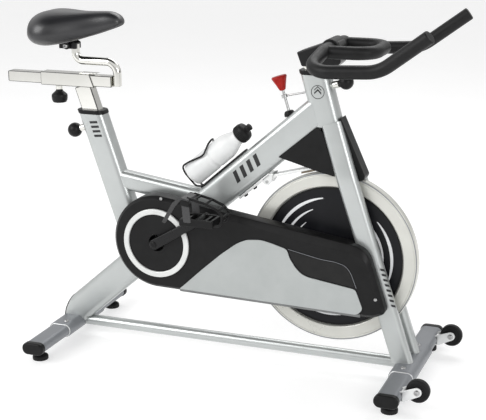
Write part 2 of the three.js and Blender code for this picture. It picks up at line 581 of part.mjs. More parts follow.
for (const [side, sign] of sides) {
  const end = pedalAt(sign);
  let crank = slab(beltOutline(V(CRANK.x, 0, CRANK.z), 17, end, 12), sign * 92, sign * 104, 6);
  crank = cut(crank, crossRod(CRANK.x, CRANK.z, 8.5 + GAP, sign * 80, sign * 120, 20));
  crank = join(crank, crossRod(end.x, end.z, 6, sign * 103, sign * (PEDAL.outer - 4), 14));
  add(`crank_arm_${side}`, crank, 'black');

  const body = slab(roundedAt(end.x, end.z, 2 * PEDAL.halfLength, 2 * PEDAL.halfHeight, 6),
    sign * PEDAL.inner, sign * PEDAL.outer, 3);
  add(`pedal_${side}`, cut(body, crossRod(end.x, end.z, 6.6, sign * 100, sign * (PEDAL.outer - 3),
    16)), 'black');

  const cageLine = [[47.3, -6], [60, -4], [69, 8], [71, 26], [58, 41], [26, 54], [-8, 64], [-34, 68]];
  const cageInner = cageLine.map(([x, z], i) => [x - (i < 4 ? 3 : 1), z + (i < 3 ? 3 : -3)]).reverse();
  const cageShape = [...cageLine, ...cageInner].map(([x, z]) => [x + end.x, z + end.z]);
  const strapShape = [[-36, 65], [-20, 65], [-14, 0], [-30, 0]].map(([x, z]) => [x + end.x, z + end.z]);
  const inner = PEDAL.inner + 1;
  const outer = PEDAL.outer - 1;
  const cage = join(
    slab(cageShape, sign * inner, sign * outer),
    slab(strapShape, sign * (PEDAL.outer + 0.4), sign * (PEDAL.outer + 3)),
    slab([[-36, 63], [-20, 59], [-20, 66], [-34, 68]].map(([x, z]) => [x + end.x, z + end.z]),
      sign * inner, sign * (PEDAL.outer + 3)));
  add(`toe_cage_${side}`, cage, 'black');
}

// ---------------------------------------------------------------- chain guard
// Outline of the guard's outer face; inset draws it smaller all round.
function guardOutline(inset) {
  const r = 124 - inset;
  const fall = Math.atan(0.151);
  const c = { x: CRANK.x, z: CRANK.z + 1 };
  const shape = new THREE.Shape();
  shape.absarc(c.x, c.z, r, Math.PI / 2 - fall, 1.5 * Math.PI - 0.023);
  const k = inset;
  const front = [[350, 181 + k], [392 - k * 0.3, 181 + k], [424 - k, 196 + k * 0.6],
    [378 - k, 333 - k * 0.3],
    [362 - k, 352 - k], [338, 362.6 - k]];
  for (const [x, z] of front) shape.lineTo(x, z);
  return shape;
}
// A slab whose edges are chamfered on both faces.
function chamfered(shape, y0, y1, size) {
  const options = {
    depth: y1 - y0 - 2 * size, bevelEnabled: true, bevelThickness: size, bevelSize: size,
      bevelOffset: -size,
    bevelSegments: 1, curveSegments: 10,
  };
  const matrix = new THREE.Matrix4().makeBasis(V(1, 0, 0), V(0, 0, 1), V(0, -1, 0));
  matrix.setPosition(0, y1 - size, 0);
  return solid(new THREE.ExtrudeGeometry(shape, options).applyMatrix4(matrix));
}
const legSide = [[321.5, 380], [390.5, 170], [500, 170], [500, 380]];
let guard = cut(chamfered(guardOutline(0), -84, 20, 8), chamfered(guardOutline(3), -81, 30, 8),
  box(-700, 700, -40, 90, 0, 600));
guard = cut(guard, slab(legSide, -52.5, -20), crossRod(CRANK.x, CRANK.z, 24, -90, -70, 24));
add('chain_guard', guard, 'black');

const panelSide = [[-119, 205], [-66, 255], [-11, 304], [33, 338], [60, 351], [98, 355], [125, 350],
  [168, 338],
  [176, 314], [191, 292], [206, 278], [223, 271], [257, 266], [347, 253], [367, 202], [350, 187],
    [-136, 197]];
add('guard_panel', slab(panelSide, -87, -84.3), 'silver');

// ---------------------------------------------------------------- bottle and cage
const wireHalf = [[230, 4, 5], [221, 14, 14], [221, 58, 18], [228, 75, 20], [250, 73, 23],
  [293, 62, 31], [304, 62, 31],
  [326, 77, 17], [334, 80, 4]];
const wirePoints = [
  ...wireHalf.map(([s, t, y]) => onBeam(s, t, -y)),
  ...wireHalf.map(([s, t, y]) => onBeam(s, t, y)).reverse(),
];
const reach = wirePoints.slice(1, -1).map((p, i) => 0.45 * Math.min(p.distanceTo(wirePoints[i]),
  p.distanceTo(wirePoints[i + 2])));
const cageStrip = prism(roundedRect(16, 5, 1), onBeam(226, 2.9), onBeam(392, 2.9), V(0, 1, 0), 2);
add('bottle_cage', join(tube(filletPath(wirePoints, reach), 2.4, 54, 3), cageStrip), 'black');

const b = BOTTLE;
const bottleProfile = [[0, 0], [29, 0], [b.radius, 4], [b.radius, 122], [30, 136], [24, 152],
  [20, 164], [20, 170], [0, 170]];
add('water_bottle', turned(bottleProfile, onBeam(b.start, b.lift), beamDir, 28), 'white');
const capProfile = [[0, 170 + GAP], [22, 170 + GAP], [23.5, 174], [22.5, 194], [18, 199], [8, 200],
  [7, 211], [0, 212]];
add('bottle_cap', turned(capProfile, onBeam(b.start, b.lift), beamDir, 24), 'black');

export default bike;
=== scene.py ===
import math
import bmesh
import bpy
from mathutils import Matrix, Quaternion, Vector


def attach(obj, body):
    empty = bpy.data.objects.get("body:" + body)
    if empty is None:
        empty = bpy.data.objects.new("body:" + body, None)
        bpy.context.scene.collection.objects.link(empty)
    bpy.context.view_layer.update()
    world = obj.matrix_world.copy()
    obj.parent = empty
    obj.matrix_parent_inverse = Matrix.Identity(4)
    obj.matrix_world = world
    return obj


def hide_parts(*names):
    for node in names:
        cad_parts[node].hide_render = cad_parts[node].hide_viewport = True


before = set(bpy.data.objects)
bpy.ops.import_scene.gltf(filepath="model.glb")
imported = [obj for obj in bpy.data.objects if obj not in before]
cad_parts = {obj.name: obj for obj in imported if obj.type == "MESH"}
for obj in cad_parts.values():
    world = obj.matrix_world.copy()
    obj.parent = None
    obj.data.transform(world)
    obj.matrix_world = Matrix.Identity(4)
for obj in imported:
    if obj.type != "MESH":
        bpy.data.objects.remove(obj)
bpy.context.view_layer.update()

MM = 0.001
SHIFT = 42.5  # mm from this script's x = 0 back to the frame's own origin
RAD = math.radians


def at(x, y, z):
    """A point from mm: x ahead, y to the rider's left, z up from the floor."""
    return Vector(((x + SHIFT) * MM, y * MM, z * MM))


def unit(x, y, z):
    return Vector((x, y, z)).normalized()


# ---------------- main directions and centres
BEAM_ANGLE, SEAT_LEAN, HEAD_LEAN = RAD(41), RAD(18.53), RAD(15.82)
BEAM_DIR = unit(math.cos(BEAM_ANGLE), 0, math.sin(BEAM_ANGLE))
BEAM_UP = unit(-math.sin(BEAM_ANGLE), 0, math.cos(BEAM_ANGLE))
SEAT_UP = unit(-math.sin(SEAT_LEAN), 0, math.cos(SEAT_LEAN))
SEAT_OUT = unit(-math.cos(SEAT_LEAN), 0, -math.sin(SEAT_LEAN))
HEAD_UP = unit(-math.sin(HEAD_LEAN), 0, math.cos(HEAD_LEAN))
HEAD_OUT = unit(math.cos(HEAD_LEAN), 0, math.sin(HEAD_LEAN))
ROD_DIR = unit(0.2978, 0, -0.9546)
X = Vector((1, 0, 0))
Y = Vector((0, 1, 0))
Z = Vector((0, 0, 1))
CRANK_X, CRANK_Z = -190, 316
FLY_X, FLY_Z = 263, 304
CRANK = at(CRANK_X, 0, CRANK_Z)
FLY = at(FLY_X, 0, FLY_Z)
SEAT_TOP = at(-403, 0, 630)
HEAD_TOP = at(213, 0, 768)
BEAM_DEPTH, BEAM_WIDTH, TUBE_DEPTH = 79, 52, 70
BEAM_HALF = BEAM_DEPTH / 2
CHAIN_Y = -37
SIDES = (("left", 1), ("right", -1))


def go(p, d, mm):
    """The point that lies mm from p along d."""
    return p + d * (mm * MM)


def beam_spot(s, t, half=BEAM_HALF):
    """(x, z) mm of a spot s along the beam and t off its upper face, or its lower one with -BEAM_HALF."""
    v = BEAM_DIR * s + BEAM_UP * (Vector((CRANK_X, 0, CRANK_Z)).dot(BEAM_UP) + half + t)
    return v.x, v.z


def on_beam(s, t, y=0):
    """A point s along the beam, t off its upper face and y to the left."""
    x, z = beam_spot(s, t)
    return at(x, y, z)


# ---------------- materials
def new_mat(name):
    m = bpy.data.materials.new(name)
    m.use_nodes = True
    nt = m.node_tree
    nt.nodes.clear()
    out = nt.nodes.new("ShaderNodeOutputMaterial")
    b = nt.nodes.new("ShaderNodeBsdfPrincipled")
    nt.links.new(b.outputs[0], out.inputs[0])
    return m, nt, b


def noise(nt, scale, detail=3, rough=0.55):
    tc = nt.nodes.new("ShaderNodeTexCoord")
    mp = nt.nodes.new("ShaderNodeMapping")
    nt.links.new(tc.outputs["Object"], mp.inputs[0])
    n = nt.nodes.new("ShaderNodeTexNoise")
    n.inputs["Scale"].default_value = scale
    n.inputs["Detail"].default_value = detail
    n.inputs["Roughness"].default_value = rough
    nt.links.new(mp.outputs[0], n.inputs["Vector"])
    return n


def ramp(nt, src, lo, hi, a=0.35, b=0.65):
    r = nt.nodes.new("ShaderNodeValToRGB")
    r.color_ramp.elements[0].position = a
    r.color_ramp.elements[1].position = b
    r.color_ramp.elements[0].color = lo
    r.color_ramp.elements[1].color = hi
    nt.links.new(src, r.inputs[0])
    return r


def span(nt, src, lo, hi, a=0.3, b=0.7):
    """Maps a to b of a value onto lo to hi."""
    r = nt.nodes.new("ShaderNodeMapRange")
    r.inputs["From Min"].default_value = a
    r.inputs["From Max"].default_value = b
    r.inputs["To Min"].default_value = lo
    r.inputs["To Max"].default_value = hi
    nt.links.new(src, r.inputs["Value"])
    return r.outputs[0]


def bump(nt, b, src, strength, distance):
    n = nt.nodes.new("ShaderNodeBump")
    n.inputs["Strength"].default_value = strength
    n.inputs["Distance"].default_value = distance
    nt.links.new(src, n.inputs["Height"])
    nt.links.new(n.outputs[0], b.inputs["Normal"])


def mat(name, lo, hi, rough, metal=0.0, coat=0.0, scale=40, fine=900, depth=0.15, dist=0.0004,
        spec=0.5, sheen=0.0):
    """A look whose tone and roughness wander between two values, with a fine grain."""
    m, nt, b = new_mat(name)
    broad = noise(nt, scale, 4)
    c = ramp(nt, broad.outputs["Fac"], (*lo, 1), (*hi, 1))
    nt.links.new(c.outputs[0], b.inputs["Base Color"])
    nt.links.new(span(nt, broad.outputs["Fac"], rough[0], rough[1]), b.inputs["Roughness"])
    b.inputs["Metallic"].default_value = metal
    b.inputs["Coat Weight"].default_value = coat
    b.inputs["Coat Roughness"].default_value = 0.12
    b.inputs["Specular IOR Level"].default_value = spec
    b.inputs["Sheen Weight"].default_value = sheen
    if depth:
        f = noise(nt, fine, 2)
        bump(nt, b, f.outputs["Fac"], depth, dist)
    return m


LOOKS = {"silver": mat("silver powder coat", (0.47, 0.49, 0.485), (0.50, 0.52, 0.515), (0.29, 0.34), 0.72,
                       0.2, scale=12, fine=1600, depth=0.015, dist=0.0001),
         "grey": mat("grey powder coat", (0.20, 0.21, 0.225), (0.225, 0.235, 0.25), (0.38, 0.46), 0.4, 0.1,
                     scale=20, fine=1600, depth=0.06, dist=0.0002),
         "chrome": mat("polished chrome", (0.72, 0.715, 0.68), (0.76, 0.755, 0.72), (0.04, 0.08), 1.0,
                       scale=12, fine=300, depth=0.01, dist=0.0001),
         # edge: near-black painted dark reflection for the rounded edges of chrome parts
         "edge": mat("painted dark reflection on chrome edges", (0.055, 0.055, 0.054), (0.085, 0.085, 0.083), (0.16, 0.24), 0.6,
                     scale=30, fine=600, depth=0.02, dist=0.0001),
         "panel": mat("silver plastic", (0.40, 0.42, 0.415), (0.43, 0.45, 0.445), (0.30, 0.36), 0.66, 0.1,
                      scale=18, fine=1600, depth=0.04, dist=0.0002),
         # fold: the panel's silver plastic darkened as painted shade where it wraps under the guard
         "fold_painted_shade": mat("silver plastic painted shade", (0.15, 0.155, 0.155), (0.19, 0.195, 0.195), (0.34, 0.42), 0.5,
                     scale=18, fine=1600, depth=0.04, dist=0.0002),
         "steel": mat("machined steel", (0.40, 0.40, 0.40), (0.50, 0.50, 0.50), (0.24, 0.36), 1.0, scale=60,
                      fine=900, depth=0.08, dist=0.0002),
         "pale": mat("pale zinc plate", (0.74, 0.75, 0.75), (0.80, 0.81, 0.80), (0.28, 0.36), 0.6, scale=30,
                     fine=900, depth=0.05, dist=0.0002),
         "rim": mat("turned flywheel rim", (0.57, 0.57, 0.53), (0.62, 0.62, 0.58), (0.26, 0.34), 0.5, 0.15,
                    scale=10, fine=700, depth=0.03, dist=0.0002),
         "disc": mat("black painted disc", (0.0048, 0.0050, 0.0066), (0.0068, 0.0071, 0.0090), (0.34, 0.44),
                     spec=0.22, scale=30, fine=1400, depth=0.08, dist=0.0002),
         "black": mat("moulded black plastic", (0.0050, 0.0050, 0.0052), (0.0075, 0.0075, 0.0078),
                      (0.34, 0.44), spec=0.2, scale=35, fine=2200, depth=0.12, dist=0.0002),
         "window": mat("dark recessed plastic", (0.0085, 0.0085, 0.0087), (0.0130, 0.0127, 0.0124),
                       (0.3, 0.4), spec=0.22, scale=35, fine=2200, depth=0.10, dist=0.0002),
         "gloss": mat("gloss black paint", (0.0045, 0.0045, 0.0050), (0.0065, 0.0065, 0.0070), (0.24, 0.32),
                      spec=0.28, scale=25, fine=1200, depth=0.03, dist=0.0001),
         "grip": mat("dipped grip", (0.0055, 0.0055, 0.0058), (0.0085, 0.0085, 0.0088), (0.42, 0.52),
                     spec=0.24, scale=60, fine=2600, depth=0.25, dist=0.0003),
         "rubber": mat("black rubber", (0.0060, 0.0060, 0.0062), (0.0095, 0.0095, 0.0098), (0.48, 0.60),
                       spec=0.2, scale=45, fine=1800, depth=0.2, dist=0.0003),
         "red": mat("red plastic", (0.26, 0.004, 0.002), (0.36, 0.008, 0.003), (0.34, 0.42), spec=0.25,
                    scale=40, fine=900, depth=0.04, dist=0.0002),
         "white": mat("bottle plastic", (0.70, 0.71, 0.71), (0.75, 0.755, 0.75), (0.30, 0.38), 0.0, 0.15,
                      scale=20, fine=900, depth=0.03, dist=0.0002),
         "felt": mat("pressed felt", (0.16, 0.13, 0.09), (0.24, 0.20, 0.15), (0.85, 0.95), scale=300,
                     fine=1500, depth=0.6, dist=0.0006, sheen=0.3),
         "decal": mat("black print", (0.010, 0.010, 0.011), (0.013, 0.013, 0.014), (0.34, 0.42), scale=60,
                      fine=900, depth=0.02, dist=0.0001),
         "print": mat("white print", (0.72, 0.73, 0.74), (0.78, 0.79, 0.80), (0.34, 0.42), scale=60,
                      fine=900, depth=0.02, dist=0.0001),
         "ring": mat("silver trim", (0.62, 0.63, 0.62), (0.68, 0.69, 0.68), (0.30, 0.36), 0.3, scale=30,
                     fine=900, depth=0.03, dist=0.0001),
         "tail": mat("grey strap end", (0.022, 0.022, 0.023), (0.040, 0.040, 0.041), (0.45, 0.6), scale=300,
                     fine=1800, depth=0.4, dist=0.0004),
         "strap": mat("woven strap", (0.020, 0.020, 0.021), (0.050, 0.050, 0.052), (0.6, 0.75), scale=700,
                      fine=1800, depth=0.5, dist=0.0006, sheen=0.2), }


def vinyl():
    m, nt, b = new_mat("saddle vinyl")
    broad = noise(nt, 14, 3)
    c = ramp(nt, broad.outputs["Fac"], (0.0046, 0.0046, 0.0062, 1), (0.0068, 0.0068, 0.0092, 1))
    nt.links.new(c.outputs[0], b.inputs["Base Color"])
    nt.links.new(span(nt, broad.outputs["Fac"], 0.34, 0.42), b.inputs["Roughness"])
    b.inputs["Coat Weight"].default_value = 0.35
    b.inputs["Coat Roughness"].default_value = 0.28
    b.inputs["Specular IOR Level"].default_value = 0.6
    tc = nt.nodes.new("ShaderNodeTexCoord")
    v = nt.nodes.new("ShaderNodeTexVoronoi")
    v.inputs["Scale"].default_value = 700
    nt.links.new(tc.outputs["Object"], v.inputs["Vector"])
    bump(nt, b, v.outputs["Distance"], 0.10, 0.0003)
    return m


LOOKS["vinyl"] = vinyl()


# ---------------- mesh helpers
def finish_mesh(name, bm, material, sharp=38.0, smooth=True):
    """Makes the object. A name the frame already uses gets _form behind it."""
    bmesh.ops.remove_doubles(bm, verts=bm.verts, dist=1e-7)
    bmesh.ops.recalc_face_normals(bm, faces=bm.faces)
    name = name.replace(" ", "_")
    if name in bpy.data.objects:
        name += "_form"
    me = bpy.data.meshes.new(name)
    for f in bm.faces:
        f.smooth = smooth
    if smooth:
        for e in bm.edges:
            if len(e.link_faces) == 2 and e.calc_face_angle(0) > RAD(sharp):
                e.smooth = False
    bm.to_mesh(me)
    bm.free()
    o = bpy.data.objects.new(name, me)
    bpy.context.collection.objects.link(o)
    me.materials.append(LOOKS[material] if isinstance(material, str) else material)
    return o


def bevel(o, width, segments=3, angle=30.0, own=None):
    """Rounds the edges by width mm; own is a look that only the rounded strips get."""
    m = o.modifiers.new("edge", "BEVEL")
    if own:
        o.data.materials.append(LOOKS[own])
        m.material = len(o.data.materials) - 1
    m.width = width * MM
    m.segments = segments
    m.limit_method = "ANGLE"
    m.angle_limit = RAD(angle)
    m.harden_normals = False
    return o


def piece(o, body, nodes=()):
    """Hands a finished mesh to its body, with the CAD nodes it stands for."""
    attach(o, body)
    if nodes:
        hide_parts(*([nodes] if isinstance(nodes, str) else nodes))
    return o


def rounded(w, h, r, n=8):
    """Rectangle outline with corners of radius r, anticlockwise, in mm."""
    corners = ((1, 1), (-1, 1), (-1, -1), (1, -1))
    if not r:
        return [(w / 2 * sx, h / 2 * sy) for sx, sy in corners]
    r = min(r, w / 2 - 1e-4, h / 2 - 1e-4)
    pts = []
    for quarter, (sx, sy) in enumerate(corners):
        for i in range(n + 1):
            a = RAD(90 * quarter + 90 * i / n)
            pts.append(((w / 2 - r) * sx + r * math.cos(a), (h / 2 - r) * sy + r * math.sin(a)))
    return pts


def box(x0, x1, z0, z1):
    """Plain rectangle as a side outline."""
    return [(x0, z0), (x1, z0), (x1, z1), (x0, z1)]


def skin(bm, rings):
    """Quads from each closed ring of vertices to the next."""
    for a, b in zip(rings, rings[1:]):
        m = len(a)
        for j in range(m):
            bm.faces.new((a[j], a[(j + 1) % m], b[(j + 1) % m], b[j]))


def prism(bm, outline, y0, y1):
    """A solid between two y values from a side outline of (x, z) mm."""
    lo = [bm.verts.new(at(x, y0, z)) for x, z in outline]
    hi = [bm.verts.new(at(x, y1, z)) for x, z in outline]
    bm.faces.new(lo)
    bm.faces.new(hi[::-1])
    m = len(outline)
    for i in range(m):
        j = (i + 1) % m
        bm.faces.new((lo[i], hi[i], hi[j], lo[j]))


def circle(r, n=40):
    """Circle outline in mm."""
    return [(r * math.cos(2 * math.pi * i / n), r * math.sin(2 * math.pi * i / n)) for i in range(n)]


def fillet(points, radii, steps=10):
    """Rounds the inner corners of a polyline with arcs, one radius in mm for each."""
    out = [points[0]]
    for i in range(1, len(points) - 1):
        p = points[i]
        a = (points[i - 1] - p).normalized()
        b = (points[i + 1] - p).normalized()
        ang = a.angle(b)
        r = radii[i - 1] * MM
        reach = r / math.tan(ang / 2)
        start = p + a * reach
        end = p + b * reach
        centre = p + (a + b).normalized() * (r / math.sin(ang / 2))
        u = (start - centre).normalized()
        w = (end - centre).normalized()
        sweep = u.angle(w)
        axis = u.cross(w).normalized()
        n = max(2, int(steps * sweep / RAD(90)) + 1)
        for k in range(n + 1):
            out.append(centre + Quaternion(axis, sweep * k / n) @ (u * r))
    out.append(points[-1])
    return out


def path_tangents(path):
    """The direction of a path at each of its points."""
    n = len(path)
    tangents = []
    for i in range(n):
        if i == 0:
            t = path[1] - path[0]
        elif i == n - 1:
            t = path[-1] - path[-2]
        else:
            t = (path[i] - path[i - 1]).normalized() + (path[i + 1] - path[i]).normalized()
        tangents.append(t.normalized())
    return tangents


def sweep_bm(path, section, side, caps=True):
    """Sweeps an outline (mm) along a path. The outline's x runs along side at the start."""
    bm = bmesh.new()
    rings = []
    n = len(path)
    tangents = path_tangents(path)
    sx = (side - tangents[0] * side.dot(tangents[0])).normalized()
    for i in range(n):
        t = tangents[i]
        if i:
            q = tangents[i - 1].rotation_difference(t)
            sx = q @ sx
            sx = (sx - t * sx.dot(t)).normalized()
        sy = t.cross(sx)
        stretch = 1.0
        if 0 < i < n - 1:
            half = (path[i] - path[i - 1]).angle(path[i + 1] - path[i], 0) / 2
            stretch = 1 / max(0.5, math.cos(half))
        rings.append([bm.verts.new(path[i] + (sx * x + sy * y) * (MM * stretch)) for x, y in section])
    skin(bm, rings)
    if caps:
        bm.faces.new(list(reversed(rings[0])))
        bm.faces.new(rings[-1])
    return bm


def bar(name, a, b, depth, width, r, material, body, nodes=(), edge=0.0, own=None):
    """A straight rectangular tube from a to b, depth measured in the side view."""
    d = (b - a).normalized()
    side = Y.cross(d).normalized()
    o = finish_mesh(name, sweep_bm([a, b], rounded(depth, width, r), side), material)
    if edge:
        bevel(o, edge, 3, 60, own)
    return piece(o, body, nodes)


def tube_sweep(name, points, radii, r, material, body, nodes=(), n=40, steps=14, edge=0.0,
               side=None):
    """A round tube of radius r bent round the points."""
    path = fillet(points, radii, steps)
    o = finish_mesh(name, sweep_bm(path, circle(r, n), side or Vector((0.02, 1, 0.03))), material)
    if edge:
        bevel(o, edge, 4, 60)
    return piece(o, body, nodes)


def lathe_bm(profile, start, direction, n=72, bm=None):
    """Turns [radius, distance] (mm) about an axis."""
    bm = bm or bmesh.new()
    z = direction.normalized()
    x = z.orthogonal().normalized()
    y = z.cross(x)
    rings = []
    for r, d in profile:
        c = start + z * (d * MM)
        if r < 1e-6:
            rings.append([bm.verts.new(c)])
            continue
        turns = [2 * math.pi * i / n for i in range(n)]
        rings.append([bm.verts.new(c + (x * math.cos(a) + y * math.sin(a)) * (r * MM)) for a in turns])
    for a, b in zip(rings, rings[1:]):
        if len(a) == 1 and len(b) == 1:
            continue
        for i in range(n):
            j = (i + 1) % n
            if len(a) == 1:
                bm.faces.new((a[0], b[i], b[j]))
            elif len(b) == 1:
                bm.faces.new((a[i], b[0], a[j]))
            else:
                bm.faces.new((a[i], b[i], b[j], a[j]))
    return bm


def soften(profile, r, steps=4, closed=False):
    """Rounds the corners of a profile (mm)."""
    pts = [Vector((a, b)) for a, b in profile]
    out = []
    n = len(pts)
    for i, p in enumerate(pts):
        if not closed and i in (0, n - 1):
            out.append(tuple(p))
            continue
        a = pts[i - 1] - p
        b = pts[(i + 1) % n] - p
        la, lb = a.length, b.length
        if la < 1e-6 or lb < 1e-6:
            continue
        k = min(r, la * 0.45, lb * 0.45)
        s = p + a.normalized() * k
        e = p + b.normalized() * k
        for q in range(steps + 1):
            t = q / steps
            out.append(tuple(s.lerp(p, t).lerp(p.lerp(e, t), t)))
    return out


def turned(name, profile, start, direction, material, body, nodes=(), r=0.8, n=72):
    """A turned piece whose profile corners are rounded by r mm."""
    o = finish_mesh(name, lathe_bm(soften(profile, r), start, direction, n), material)
    return piece(o, body, nodes)


def plate(name, outline, y0, y1, material, body, nodes=(), r=0.0, edge=0.8, segs=3, corner=4,
          own=None):
    """A flat plate from a side outline of (x, z) mm, between two y values."""
    bm = bmesh.new()
    prism(bm, soften(outline, r, corner, closed=True) if r else outline, y0, y1)
    o = finish_mesh(name, bm, material)
    if edge:
        bevel(o, edge, segs, 40, own)
    return piece(o, body, nodes)


def rod(name, a, b, r, material, body, nodes=(), edge=0.5, n=40):
    """A round rod of radius r from a to b."""
    length = (b - a).length / MM
    prof = soften([(0, 0), (r, 0), (r, length), (0, length)], edge)
    o = finish_mesh(name, lathe_bm(prof, a, b - a, n), material)
    return piece(o, body, nodes)


def bolt(name, p, d, r, h, body, material="steel"):
    """A button-head screw with a hexagon socket."""
    socket, floor = r * 0.5, h * 0.45
    head = [(socket, floor), (socket, h), (r * 0.72, h), (r, floor), (r, 0), (0, 0)]
    bm = lathe_bm(soften(head, 0.3), p, d, 32)
    lathe_bm([(0, floor), (socket, floor)], p, d, 6, bm)
    return piece(finish_mesh(name, bm, material), body, ())


def belt(ax, az, ra, bx, bz, rb, n=28):
    """The (x, z) outline of a belt pulled tight round two circles."""
    dx, dz = bx - ax, bz - az
    lean = math.acos((ra - rb) / math.hypot(dx, dz))
    head = math.atan2(dz, dx)
    pts = []
    for x, z, r, first, sweep in ((ax, az, ra, head + lean, 2 * math.pi - 2 * lean),
                                  (bx, bz, rb, head - lean, 2 * lean)):
        for i in range(n + 1):
            a = first + sweep * i / n
            pts.append((x + r * math.cos(a), z + r * math.sin(a)))
    return pts


def cylinder_cut(o, a, b, r, n=48):
    length = (b - a).length / MM
    cutter = lathe_bm([(0, 0), (r, 0), (r, length), (0, length)], a, b - a, n)
    boolean(o, finish_mesh("cutter", cutter, "black"))


def boolean(o, cutter, mode="DIFFERENCE"):
    """Cuts o now, so that the modifier and its cutter don't stay in the scene."""
    m = o.modifiers.new("cut", "BOOLEAN")
    m.operation = mode
    m.object = cutter
    m.solver = "EXACT"
    bpy.context.view_layer.update()
    dg = bpy.context.evaluated_depsgraph_get()
    me = bpy.data.meshes.new_from_object(o.evaluated_get(dg))
    o.modifiers.clear()
    old = o.data
    o.data = me
    bpy.data.meshes.remove(old)
    bpy.data.objects.remove(cutter)


def reshade(o, sharp):
    """Smooth faces, with every edge above the sharp angle kept crisp."""
    bm = bmesh.new()
    bm.from_mesh(o.data)
    for f in bm.faces:
        f.smooth = True
    for e in bm.edges:
        e.smooth = not (len(e.link_faces) == 2 and e.calc_face_angle(0) > RAD(sharp))
    bm.to_mesh(o.data)
    bm.free()
    return o


def prism_cutter(outline, y0=-80, y1=80):
    bm = bmesh.new()
    prism(bm, outline, y0, y1)
    return finish_mesh("cutter", bm, "black", smooth=False)


def decal(name, polys, y, material, body, thick=0.25):
    """Flat printed shapes lifted just off a side face."""
    bm = bmesh.new()
    for poly in polys:
        prism(bm, poly, y, y - thick)
    return piece(finish_mesh(name, bm, material, smooth=False), body, ())


# ---------------- frame tubes
def tube_solid(name, top, d, low, high, depth, width, r=18, look="silver"):
    """A straight rounded tube along d, from low to high mm past its top point."""
    path = [go(top, d, low), go(top, d, high)]
    return finish_mesh(name, sweep_bm(path, rounded(depth, width, r, 10), Y.cross(d)), look)


def beam_solid(name):
    return tube_solid(name, CRANK, BEAM_DIR, -480, 600, BEAM_DEPTH, BEAM_WIDTH)


REAR = [(-503, 44), (-503, 58), (-499, 76), (-490, 98), (-475, 124), (-458, 137.5)]
beam = beam_solid("main beam")
boolean(beam, prism_cutter([(-900, 44)] + REAR + [(-300, 560), (-900, 560)]))
boolean(beam, prism_cutter([(-900, -400), (-900, 44), (-440, 44), (-440, 57), (300, 57), (300, -400)]))
boolean(beam, tube_solid("cutter", HEAD_TOP, HEAD_UP, -190, 60, TUBE_DEPTH + 0.4, BEAM_WIDTH + 0.4))
boolean(beam, prism_cutter(box(236, 520, 560, 900)))
reshade(beam, 32)
piece(beam, "frame", "main_beam")
# Thin dark cap that closes the beam's rear end.
cap = beam_solid("beam end cap")
outer_line = [(x - 2.6, z + (1.2 if i > 2 else 0)) for i, (x, z) in enumerate(REAR)]
boolean(cap, prism_cutter([(x + 0.3, z) for x, z in REAR] + outer_line[::-1]), "INTERSECT")
cap.data.materials.clear()
cap.data.materials.append(LOOKS["black"])
piece(reshade(cap, 50), "frame", ())
rod("bottom bracket shell", go(CRANK, Y, -32), go(CRANK, Y, 32), 21, "silver", "frame", edge=1.5, n=56)


def level_cutter(z0, z1):
    return prism_cutter(box(-700, 500, z0, z1))


def level_tube(name, top, up, low, z_top, node, cutter=None, z_low=None):
    """A sloping tube whose top is cut level."""
    o = tube_solid(name, top, up, low, 40, TUBE_DEPTH, BEAM_WIDTH)
    boolean(o, level_cutter(z_top, z_top + 300))
    if z_low:
        boolean(o, level_cutter(z_low - 300, z_low))
    if cutter:
        boolean(o, cutter)
    reshade(o, 32)
    bevel(o, 0.8, 2, 50)
    return piece(o, "frame", node)


level_tube("seat tube", SEAT_TOP, SEAT_UP, -385, 630, "seat_tube",
           tube_solid("cutter", CRANK, BEAM_DIR, -520, 300, BEAM_DEPTH, BEAM_WIDTH + 0.2))
bar("brace tube", at(-332, 0, 458), at(-40, 0, 416), 50, 44, 15, "silver", "frame", "brace_tube")
level_tube("head tube", HEAD_TOP, HEAD_UP, -160, 768, "head_tube", z_low=640)


def collar(name, top, up, z0, node):
    """The level plastic ring on top of a tube."""
    o = tube_solid(name, top, up, -60, 60, TUBE_DEPTH + 3, BEAM_WIDTH + 3, 19, "black")
    boolean(o, level_cutter(z0 + 10.7, z0 + 200))
    boolean(o, level_cutter(z0 - 200, z0))
    reshade(o, 32)
    bevel(o, 2.2, 4, 50)
    return piece(o, "frame", node)


collar("seat tube collar", SEAT_TOP, SEAT_UP, 630.3, "seat_tube_collar")
collar("head tube collar", HEAD_TOP, HEAD_UP, 768.3, "head_tube_collar")


# ---------------- fork
# x of the leg's middle line at z = 60, and how far it leans back for each mm up
LEG_FOOT, LEG_SLOPE = 458.5, 0.33


def leg_x(z):
    return LEG_FOOT - LEG_SLOPE * (z - 60)


for side, sign in SIDES:
    y = 36 * sign
    path = fillet([at(leg_x(30), y, 30), at(leg_x(522), y, 522), at(leg_x(650) - 4, 15.8 * sign, 650)],
                  [220], 24)
    leg_shape = sweep_bm(path, rounded(52, 31, 13), Vector((1, 0, LEG_SLOPE)))
    leg = finish_mesh(f"fork leg {side}", leg_shape, "silver")
    boolean(leg, prism_cutter(box(300, 700, -50, 56)))
    reshade(leg, 32)
    piece(leg, "frame", f"fork_leg_{side}")
    plate(f"axle plate {side}", belt(FLY_X, FLY_Z, 24, 372, 296, 28, 20), 45.5 * sign, 51 * sign,
          "silver", "frame")

# ---------------- stabilizers
ST_Z = 41


def oval(name, x, y0, y1, w, h, material, body, nodes=(), edge=0.0):
    """A level tube across the bike with rounded front and back."""
    o = finish_mesh(name, sweep_bm([at(x, y0, ST_Z), at(x, y1, ST_Z)], rounded(w, h, h / 2 - 0.5, 16), X),
                    material)
    if edge:
        bevel(o, edge, 4, 60)
    return piece(o, body, nodes)


def weld_ring(name, points):
    """A bright bead of weld that closes on itself."""
    bead = sweep_bm(points + points[:2], circle(1.6, 10), Vector((0.3, 0.5, 0.8)), caps=False)
    return piece(finish_mesh(name, bead, "pale"), "frame", ())


